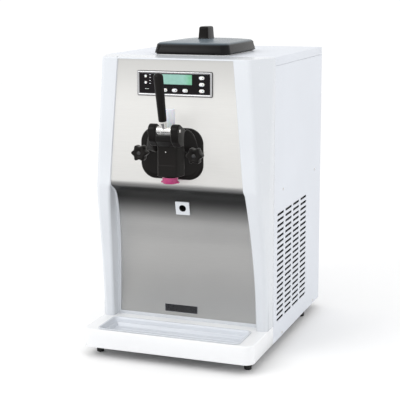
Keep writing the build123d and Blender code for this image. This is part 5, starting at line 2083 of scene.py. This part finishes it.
    def _plunger(self, shop: Workshop) -> None:
        """The white valve plunger, grooved for its rings and slotted for the lever's tip.

        Args:
            shop: the workshop that finishes the pieces.
        """
        low, high = limits("plunger")
        wall = [(0.2, low.z), (11.6, low.z), (12.5, low.z + 0.9)]
        for station in (459.0, 485.0, 517.0):
            wall += [
                (12.5, station - 1.6), (10.8, station - 1.6), (10.8, station + 1.6), (12.5, station + 1.6)
            ]
        wall += [
            (12.5, high.z - 1.4), (12.2, high.z - 0.6), (11.5, high.z), (8.6, high.z), (8.2, high.z - 0.5)
        ]
        wall += [(8.0, high.z - 3.0), (0.2, high.z - 3.0)]
        piece = settle(Shape("plunger_bar").lathe(wall, Axis.Z, (0, self.spout_y), 64).object())
        tip_y = self.pivot[0] + 31 * math.cos(math.radians(-22.5))
        tip_z = self.pivot[1] + 31 * math.sin(math.radians(-22.5))
        inner, mouth = self.spout_y + 4.8, self.spout_y - 13.5
        slot = [(inner, tip_z - 4.4), (inner, tip_z + 4.4), (tip_y - 3, tip_z + 4.4), (mouth, tip_z + 10.4)]
        slot += [(mouth, tip_z - 10.4), (tip_y - 3, tip_z - 4.4)]
        cut(piece, Shape("cut").prism(slot, Axis.X, -7, 7))
        shop.fit(soften(piece, 0.4, 2, 40.0), Body.PLUNGER, Slot.WHITE_ACETAL, "plunger")
        rings = Pattern("seal", "plunger_seals")
        for station in (459.0, 485.0, 517.0):
            rings.at((0, self.spout_y, station))
        turn = [arc((11.5, 0), 1.0, a, a + 1, 1)[0] for a in range(0, 360, 30)]
        band = Shape("seal_form").lathe([(r, z * 1.4) for r, z in turn], Axis.Z, (0, 0), 48, loop=True)
        shop.fit(
            rings.build(band, shop.material(Slot.RUBBER_BLACK)),
            Body.PLUNGER,
            Slot.RUBBER_BLACK,
            "plunger_rings",
        )

    def _nozzle(self, shop: Workshop) -> None:
        """The magenta cap: turned shell, star opening, grip tabs and fine ribs.

        Args:
            shop: the workshop that finishes the pieces.
        """
        low, high = limits("nozzle_cap")
        z0, z1 = low.z, high.z
        wall = [(0.2, z0), (15.0, z0), (17.0, z0 + 0.6), (18.3, z0 + 2.2), (18.3, z1 - 1.0), (17.8, z1 - 0.2)]
        wall += [(17.0, z1), (15.6, z1), (15.05, z1 - 0.6), (15.05, z0 + 4.2), (0.2, z0 + 4.2)]
        piece = settle(Shape("nozzle_shell").lathe(wall, Axis.Z, (0, self.spout_y), 64).object())
        star = []
        for i in range(72):
            angle = 2 * math.pi * i / 72
            radius = 6.6 + 2.8 * max(0.0, math.cos(6 * angle)) ** 0.7
            star.append((radius * math.cos(angle), self.spout_y + radius * math.sin(angle)))
        cut(piece, Shape("cut").prism(star, Axis.Z, z0 - 2, z0 + 6))
        shop.fit(soften(piece, 0.25, 2, 45.0), Body.NOZZLE, Slot.MAGENTA_NOZZLE, "nozzle_cap")
        for side, name in ((-1, "nozzle_tab_left"), (1, "nozzle_tab_right")):
            reach = sorted((side * 16.5, side * 21.9))
            tab = Shape(name).slab(reach, (self.spout_y - 4, self.spout_y + 4), (z0 + 1.1, z0 + 5.4)).object()
            shop.fit(soften(tab, 1.2, 3, 30.0), Body.NOZZLE, Slot.MAGENTA_NOZZLE)
        ribs = Pattern("grip_rib", "nozzle_ribs")
        for i in range(30):
            angle = 2 * math.pi * i / 30
            way = (math.cos(angle), math.sin(angle), 0)
            if abs(way[0]) < 0.96:
                ribs.at((18.15 * way[0], self.spout_y + 18.15 * way[1], (z0 + z1) / 2 + 0.4), way)
        tooth = Shape("rib_form").slab((-4.6, 4.6), (-0.5, 0.5), (-0.4, 0.33))
        shop.fit(ribs.build(tooth, shop.material(Slot.MAGENTA_NOZZLE), 0.2), Body.NOZZLE, Slot.MAGENTA_NOZZLE)

    def _lever(self, shop: Workshop) -> None:
        """The steel hub, tongue and stem, and the black grip that swells towards its round end.

        Args:
            shop: the workshop that finishes the pieces.
        """
        py, pz = self.pivot
        half = self.ear[0] - 0.4
        hub = [
            (0.2, -half), (8.0, -half), (9.0, -half + 1.0), (9.0, -7.5), (8.2, -6.8), (8.2, 6.8), (9.0, 7.5)
        ]
        hub += [(9.0, half - 1.0), (8.0, half), (0.2, half)]
        shop.fit(
            settle(Shape("lever_boss").lathe(hub, Axis.X, (py, pz), 48).object()),
            Body.LEVER,
            Slot.POLISHED_STEEL,
            "lever_hub",
        )
        tilt = math.radians(-22.5)
        tongue = Shape("lever_tongue").slab((-4, 4), (0, 31.0), (-2.5, 2.5))
        place = Matrix.Rotation(tilt, 4, "X")
        place.translation = Vector((0, py, pz))
        shop.fit(soften(tongue.turn(place).object(), 0.8, 2, 40.0), Body.LEVER, Slot.POLISHED_STEEL)
        tip = [(3.0, -5.0), (3.9, -4.2), (3.9, 4.2), (3.0, 5.0)]
        tip_at = (py + 31 * math.cos(tilt), pz + 31 * math.sin(tilt))
        shop.fit(
            settle(Shape("lever_tip").lathe(tip, Axis.X, tip_at, 32).object()),
            Body.LEVER,
            Slot.POLISHED_STEEL,
        )
        knee, end = Vector((0, -286.7, 581.0)), Vector((0, -311.7, 693.0))
        start = Vector((0, py, pz))
        stem_way = knee - start
        stem = [(6.3, 6.8), (6.8, 9.0), (7.6, 17.0), (7.9, stem_way.length - 0.4), (7.2, stem_way.length)]
        self._along("lever_ferrule", stem, start, stem_way, Slot.POLISHED_STEEL, shop, "lever_stem")
        way = end - knee
        grip = [(7.6, 0.4), (8.3, 1.0), (8.5, 4.0), (8.8, 26.0), (9.2, 52.0), (9.7, 82.0), (9.95, 100.0)]
        for step in range(1, 8):
            angle = math.radians(90 * step / 7)
            grip.append((9.95 * math.cos(angle) + 0.15, way.length - 9.4 + 9.2 * math.sin(angle)))
        self._along("hand_grip", grip, knee, way, Slot.BLACK_MOULDING, shop, "lever_grip")

    @staticmethod
    def _along(
        name: str,
        profile: Sequence[tuple[float, float]],
        start: Vector,
        way: Vector,
        slot: Slot,
        shop: Workshop,
        node: str,
    ) -> None:
        """Turns a profile about a slanted line and fits it to the lever.

        Args:
            name: the piece's name.
            profile: (radius, distance along the line) points.
            start: where the line starts.
            way: its direction.
            slot: the material slot.
            shop: the workshop that finishes it.
            node: the CAD node it replaces.
        """
        shape = Shape(name).lathe(profile, Axis.Z, (0, 0), 40)
        if slot is Slot.BLACK_MOULDING:
            shape.turn(Matrix.Diagonal((1.0, 1.13, 1.0, 1.0)))
        place = way.to_track_quat("Z", "X").to_matrix().to_4x4()
        place.translation = start
        shop.fit(settle(shape.turn(place).object()), Body.LEVER, slot, node)


# ---------------------------------------------------------------- lid and display


@dataclass
class HopperLid:
    """The black lid over the hopper, with its skirt, pads and bar knob."""

    top: float = 719.0
    size: tuple[float, float] = (194.0, 228.0)
    centre_y: float = 1.8
    knob_y: tuple[float, float] = (-22.2, 27.8)
    crown: float = 35.6

    def build(self, shop: Workshop) -> None:
        """Builds the lid and what is on it.

        Args:
            shop: the workshop that finishes the pieces.
        """
        self._shell(shop)
        self._skirt(shop)
        self._knob(shop)

    def _rings(self, steps: Sequence[tuple[float, float, float]]) -> list[list[Vector]]:
        """Rounded rectangles from (height over the cabinet, inset, corner radius) steps.

        Args:
            steps: the section's steps, in order.

        Returns:
            The rings, in order.
        """
        rings = []
        for lift, inset, radius in steps:
            width, length = self.size[0] - 2 * inset, self.size[1] - 2 * inset
            radius = min(radius, width / 2 - 0.5, length / 2 - 0.5)
            points = corner_points(width, length, [radius] * 4, 10)
            rings.append([Vector((x, self.centre_y + y, self.top + lift)) for x, y in points])
        return rings

    def _shell(self, shop: Workshop) -> None:
        """The crowned cap: a leaning wall, a rolled shoulder and a top that rises to its middle.

        Args:
            shop: the workshop that finishes the pieces.
        """
        steps = [(7.0, 12.0, 12.0), (6.6, 3.4, 17.5), (4.4, 2.6, 18.0), (4.0, 1.6, 19.0), (4.2, 0.7, 19.6)]
        steps += [(5.2, 0.1, 20.0), (7.0, 0.3, 20.0), (14.0, 2.0, 20.0), (20.5, 3.7, 20.0)]
        for step in range(1, 8):
            angle = math.radians(90 * step / 7)
            steps.append((20.5 + 9.2 * math.sin(angle), 3.7 + 9.5 * (1 - math.cos(angle)), 19.0 - step * 0.3))
        steps += [
            (30.6, 20.0, 15.0), (31.8, 30.0, 14.0), (33.4, 47.0, 12.0), (34.7, 66.0, 9.0), (35.4, 82.0, 6.0)
        ]
        piece = Shape("lid_shell").loft(self._rings(steps)).object()
        shop.fit(settle(piece), Body.LID, Slot.BLACK_MOULDING, "hopper_lid")
        # The lid material carries a painted sheen on its top.
        piece.data.materials[0] = LID_FINISH.material()

    def _skirt(self, shop: Workshop) -> None:
        """The locating skirt that drops into the hopper, and the pads that the lid rests on.

        Args:
            shop: the workshop that finishes the pieces.
        """
        skirt = [
            (-8.0, 18.6, 13.0), (-7.2, 18.0, 14.0), (7.0, 18.0, 14.0), (7.0, 21.0, 12.0), (-7.2, 21.0, 12.0)
        ]
        ring = Shape("lid_skirt").loft(self._rings(skirt), loop=True)
        shop.fit(settle(ring.object()), Body.LID, Slot.BLACK_MOULDING)
        # A dark rubber ring under the lid's edge: a gasket that also stands in for the shadow in the gap
        # under the lid.
        lip = [(1.7, 6.5, 15.5), (2.1, 6.0, 16.0), (4.9, 6.0, 16.0), (4.9, 11.5, 13.0), (1.7, 11.5, 13.0)]
        gasket = Shape("lid_gasket").loft(self._rings(lip), loop=True)
        shop.fit(settle(gasket.object()), Body.LID, Slot.RUBBER_BLACK)
        pads = Pattern("pad", "lid_pads")
        for x in (-88, 88):
            for y in (-100, 100):
                pads.at((x, self.centre_y + y, self.top + 1.95))
        form = Shape("pad_form").lathe([(3.2, 0.0), (4.0, 0.5), (4.0, 4.6)], Axis.Z, (0, 0), 24)
        shop.fit(pads.build(form, shop.material(Slot.RUBBER_BLACK)), Body.LID, Slot.RUBBER_BLACK)

    def _knob(self, shop: Workshop) -> None:
        """The bar knob: foot flange, tapering body, rolled top and shallow finger scoops.

        Args:
            shop: the workshop that finishes the pieces.
        """
        base = self.top + self.crown
        middle = sum(self.knob_y) / 2
        levels = [
            (-1.2, 13.4, 25.0), (0.6, 13.4, 25.0), (1.6, 13.1, 24.6), (3.0, 12.9, 24.3), (10.0, 12.5, 23.6)
        ]
        levels += [(18.0, 12.0, 22.9), (24.6, 11.7, 22.5)]
        for step in range(1, 6):
            angle = math.radians(90 * step / 5)
            shrink = 4.2 * (1 - math.cos(angle))
            levels.append((24.6 + 4.8 * math.sin(angle), 11.7 - shrink, 22.5 - shrink))
        rings = []
        for lift, half, reach in levels:
            points = corner_points(2 * half, 2 * reach, [min(4.4, half - 0.5)] * 4, 6)
            scoop = 0.7 * math.exp(-(((lift - 14.0) / 8.0) ** 2))
            ring = []
            for x, y in points:
                pull = scoop * max(0.0, 1 - (y / 15.0) ** 2)
                ring.append(Vector((x - math.copysign(pull, x), middle + y, base + lift)))
            rings.append(ring)
        shop.fit(
            settle(Shape("lid_bar_knob").loft(rings).object()), Body.LID, Slot.BLACK_MOULDING, "lid_knob"
        )


@dataclass
class DisplayUnit:
    """The chrome frame, black face, liquid-crystal window, keys, lamps and plain index marks."""

    form: FrontForm
    height: float = 660.0
    size: tuple[float, float] = (186.6, 57.0)
    band: float = 5.3
    steel_y: float = -211.2
    lamps: tuple[tuple[float, float], ...] = ((-71.4, 651.5), (-71.4, 636.5))

    def _plate(
        self, name: str, size: tuple[float, float], radius: float, steps: Sequence[tuple[float, float]]
    ) -> Shape:
        """A rounded plate on the front, from (depth ahead of the steel, inset) steps.

        Args:
            name: the piece's name.
            size: its width and height.
            radius: the corner radius.
            steps: the section's steps, in order.

        Returns:
            The shape.
        """
        rings = []
        for ahead, inset in steps:
            points = corner_points(
                size[0] - 2 * inset, size[1] - 2 * inset, [max(0.3, radius - inset)] * 4, 6
            )
            rings.append([(x, self.steel_y - ahead, self.height + z) for x, z in points])
        return Shape(name).loft(rings)

    def build(self, shop: Workshop) -> None:
        """Builds the unit from the frame inwards.

        Args:
            shop: the workshop that finishes the pieces.
        """
        width, tall = self.size
        band = self.band
        outer = [
            (0.1, 0.0), (3.0, 0.0), (4.0, 0.4), (4.5, 1.2), (4.7, 2.1), (4.6, 3.0), (4.2, 3.9), (3.3, 4.9)
        ]
        outer += [(2.9, band), (0.1, band)]
        rings = []
        for ahead, inset in outer:
            points = corner_points(width - 2 * inset, tall - 2 * inset, [max(0.8, 3.0 - inset * 0.45)] * 4, 6)
            rings.append([(x, self.steel_y - ahead, self.height + z) for x, z in points])
        frame_piece = Shape("display_frame").loft(rings, loop=True)
        shop.fit(settle(frame_piece.object()), Body.CABINET, Slot.CHROME_TRIM, "display_bezel")
        rings = []
        for ahead, inset in ((0.05, 0.0), (0.75, 0.0), (0.95, 0.25), (0.95, 0.6), (0.95, 8.0), (0.05, 8.0)):
            size = (width + 2.2 - 2 * inset, tall + 2.2 - 2 * inset)
            points = corner_points(*size, [max(0.8, 4.0 - inset)] * 4, 6)
            rings.append([(x, self.steel_y - ahead, self.height + z) for x, z in points])
        gasket = Shape("display_gasket").loft(rings, loop=True)
        shop.fit(settle(gasket.object()), Body.CABINET, Slot.RUBBER_BLACK)
        face_size = (width - 2 * band - 0.2, tall - 2 * band - 0.2)
        face = settle(
            self._plate(
                "display_face",
                face_size,
                1.2,
                ((-10.0, 3.0), (0.0, 3.0), (0.3, 0.0), (3.1, 0.0), (3.2, 0.2)),
            ).object()
        )
        low, high = limits("lcd_window")
        cutters = [
            Shape("cut").slab((low.x, high.x), (self.steel_y - 6, self.steel_y - 1.7), (low.z, high.z))
        ]
        for key in self.keys():
            box = limits(key)
            centre = (box[0] + box[1]) / 2
            cutters.append(self._oval("cut", centre, 13.8, 8.8, (self.steel_y - 8, self.steel_y + 12), 0.0))
        cut(face, *cutters)
        shop.fit(soften(face, 0.25, 2, 40.0), Body.CABINET, Slot.DISPLAY_BLACK, "display_panel")
        glass = Shape("lcd_glass").loft(self._glass(low, high))
        shop.fit(settle(glass.object()), Body.CABINET, Slot.DISPLAY_GREEN, "lcd_window")
        for key in self.keys():
            self._key(shop, key)
        self._lamps(shop)

    @staticmethod
    def keys() -> list[str]:
        """The names of the push buttons' nodes."""
        return [name for name in frame["nodes"] if name.startswith("button_")]

    def _glass(self, low: Vector, high: Vector) -> list[list[Vector]]:
        """The window's pane with a slightly raised middle.

        Args:
            low: the pane's lowest corner.
            high: the pane's highest corner.

        Returns:
            The rings, from back to front.
        """
        middle = (low + high) / 2
        rings = []
        for place, inset in ((high.y, 0.02), (low.y + 0.3, 0.02), (low.y + 0.05, 0.4), (low.y, 1.5)):
            points = corner_points(high.x - low.x - 2 * inset, high.z - low.z - 2 * inset, [0.8] * 4, 3)
            rings.append([Vector((middle.x + x, place, middle.z + z)) for x, z in points])
        return rings

    @staticmethod
    def _oval(
        name: str, centre: Vector, length: float, width: float, span: tuple[float, float], round_by: float
    ) -> Shape:
        """An oval bar along Y, with a sharp or a rounded front edge.

        Args:
            name: the piece's name.
            centre: its middle.
            length: its length.
            width: its width.
            span: its front and back places.
            round_by: 0 for the sharp edge; any other value gives the same rounded one.

        Returns:
            The shape.
        """
        steps = [(span[0], round_by), (span[1], 0.0)]
        if round_by:
            steps = [(span[0], 3.2), (span[0] + 0.15, 1.9), (span[0] + 0.5, 0.75), (span[0] + 1.2, 0.1)]
            steps += [(span[0] + 1.8, 0.0), (span[1], 0.0)]
        rings = []
        for place, inset in steps:
            radius = width / 2 - inset - 0.02
            points = corner_points(length - 2 * inset, width - 2 * inset, [radius] * 4, 7)
            rings.append([Vector((centre.x + x, place, centre.z + z)) for x, z in points])
        return Shape(name).loft(rings)

    def _key(self, shop: Workshop, name: str) -> None:
        """One domed key on its own body.

        Args:
            shop: the workshop that finishes the pieces.
            name: the CAD node's name, which is also its body's.
        """
        low, high = limits(name)
        centre = (low + high) / 2
        piece = self._oval(
            f"key_{name[7:]}", centre, high.x - low.x, high.z - low.z, (low.y, high.y), 1.0
        ).object()
        settle(piece)
        shop.dress(piece, Slot.BUTTON_WHITE)
        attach(piece, name)
        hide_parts(name)
        right = Shape(f"legend_{name[7:]}").slab(
            (centre.x + 1.9, centre.x + 4.1), (low.y - 0.04, low.y + 0.9), (centre.z - 1.3, centre.z + 1.3)
        )
        legend = soften(right.object(), 0.3, 2)
        shop.dress(legend, Slot.BADGE_DARK)
        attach(legend, name)

    def _lamps(self, shop: Workshop) -> None:
        """Two lamp lenses, and short printed dashes beside the lamps.

        Args:
            shop: the workshop that finishes the pieces.
        """
        lens = Pattern("lens", "lamp_lenses")
        for x, height in self.lamps:
            lens.at((x, self.steel_y - 3.15, self.form.base + height), (0, -1, 0))
        dome = Shape("lens_form").lathe(
            [(3.1, -0.3), (3.1, 0.2), (2.6, 0.75), (1.6, 1.15), (0.3, 1.3)], Axis.Z, (0, 0), 24
        )
        shop.fit(lens.build(dome, shop.material(Slot.BUTTON_WHITE)), Body.CABINET, Slot.BUTTON_WHITE)
        marks = Pattern("mark", "index_marks")
        for x, height in (
            (-60.5, 655.0), (-60.5, 648.5), (-60.5, 641.0), (-60.5, 634.5), (-66.0, 622.0), (-71.5, 622.0)
        ):
            marks.at((x, self.steel_y - 3.2, self.form.base + height), (0, -1, 0))
        dash = Shape("mark_form").slab((-1.9, 1.9), (-0.5, 0.5), (-0.1, 0.06))
        shop.fit(marks.build(dash, shop.material(Slot.BUTTON_WHITE)), Body.CABINET, Slot.BUTTON_WHITE)


# ---------------------------------------------------------------- studio


@dataclass
class Studio:
    """Camera, floor, world and lights."""

    eye: tuple[float, float, float] = (954.1, -2603.3, 899.8)
    yaw: float = 0.357
    pitch: float = 0.1739
    roll: float = -0.0034
    lens: float = 100.06
    shift: float = -0.065
    world_light: float = 1.06

    def camera(self) -> None:
        """Places the camera at the eye, looking along yaw and pitch."""
        data = bpy.data.cameras.new("camera")
        data.sensor_width = 36.0
        data.lens = self.lens
        data.shift_y = self.shift
        data.clip_end = 100.0
        ahead = Vector(
            (
                -math.sin(self.yaw) * math.cos(self.pitch),
                math.cos(self.yaw) * math.cos(self.pitch),
                -math.sin(self.pitch),
            )
        )
        level = Vector((math.cos(self.yaw), math.sin(self.yaw), 0.0))
        above = level.cross(ahead)
        right = level * math.cos(self.roll) + above * math.sin(self.roll)
        up = right.cross(ahead)
        made = bpy.data.objects.new("camera", data)
        made.matrix_world = Matrix(
            (
                (right.x, up.x, -ahead.x, self.eye[0] * MM),
                (right.y, up.y, -ahead.y, self.eye[1] * MM),
                (right.z, up.z, -ahead.z, self.eye[2] * MM),
                (0, 0, 0, 1),
            )
        )
        bpy.context.scene.collection.objects.link(made)
        bpy.context.scene.camera = made

    def world(self) -> None:
        """A plain white surround."""
        made = bpy.data.worlds.new("studio")
        made.use_nodes = True
        board = Board(made.node_tree)
        glow = board.node("ShaderNodeBackground", {}, {"Color": (1, 1, 1, 1), "Strength": self.world_light})
        board.node("ShaderNodeOutputWorld", {}, {"Surface": glow.out(0)})
        bpy.context.scene.world = made
        bpy.context.scene.view_settings.view_transform = "Standard"

    def floor(self) -> None:
        """A wide pale worktop."""
        made = Shape("worktop").slab((-6000, 6000), (-6000, 6000), (-20, 0)).object()
        made.data.materials.append(Floor(Slot.WHITE_PAINT, (0.96, 0.96, 0.96), 0.8, specular=0.1).material())

    def light(self, name: str, place: Point, target: Point, size: float, power: float) -> None:
        """A square soft box.

        Args:
            name: the light's name.
            place: where it stands, in millimetres.
            target: what it points at, in millimetres.
            size: its side, in metres.
            power: its power, in watts.
        """
        data = bpy.data.lights.new(name, "AREA")
        data.shape = "SQUARE"
        data.size = size
        data.energy = power
        made = bpy.data.objects.new(name, data)
        made.location = Vector(place) * MM
        made.rotation_mode = "QUATERNION"
        made.rotation_quaternion = (Vector(target) - Vector(place)).to_track_quat("-Z", "Y")
        bpy.context.scene.collection.objects.link(made)

    def card(self, name: str, x: Point, y: Point, z: float, tone: float) -> None:
        """A flat card that only mirror-like surfaces pick up.

        Args:
            name: the card's name.
            x: its limits across the machine.
            y: its limits along the machine.
            z: its height.
            tone: its brightness.
        """
        made = Shape(name).slab(x, y, (z, z + 1)).object()
        paint = bpy.data.materials.new(name)
        paint.use_nodes = True
        board = Board(paint.node_tree)
        glow = board.node(
            "ShaderNodeEmission", {}, {"Color": (tone, tone, tone * 1.05, 1.0), "Strength": 1.0}
        )
        board.node("ShaderNodeOutputMaterial", {}, {"Surface": glow.out(0)})
        made.data.materials.append(paint)
        made.visible_camera = False
        made.visible_diffuse = False
        made.visible_shadow = False
        made.visible_transmission = False

    def build(self) -> None:
        """Sets the whole studio."""
        self.camera()
        self.world()
        self.floor()
        face = limits("front_fascia")[0].y
        self.light("key", (-1500, -2200, 2300), (0, 0, 350), 1.6, 24.0)
        self.light("fill", (2600, -900, 1500), (0, 0, 350), 1.8, 2.0)
        self.card("floor_card", (-900, 900), (face - 900, face - 120), 2.0, 0.24)


def main() -> None:
    """Builds the sub-assemblies in order, then the studio."""
    logging.basicConfig(level=logging.INFO, format="%(message)s")
    shop = Workshop()
    shop.dress_frame()
    form = FrontForm()
    Cabinet().build(shop)
    Fascia(form).build(shop)
    SteelPanel(form).build(shop)
    OutletAndBadge(form).build(shop)
    DripShelf(form).build(shop)
    Head(form).build(shop)
    HopperLid().build(shop)
    DisplayUnit(form).build(shop)
    Studio().build()
    LOG.info("%d pieces fitted", shop.count)


if __name__ == "__main__":
    main()
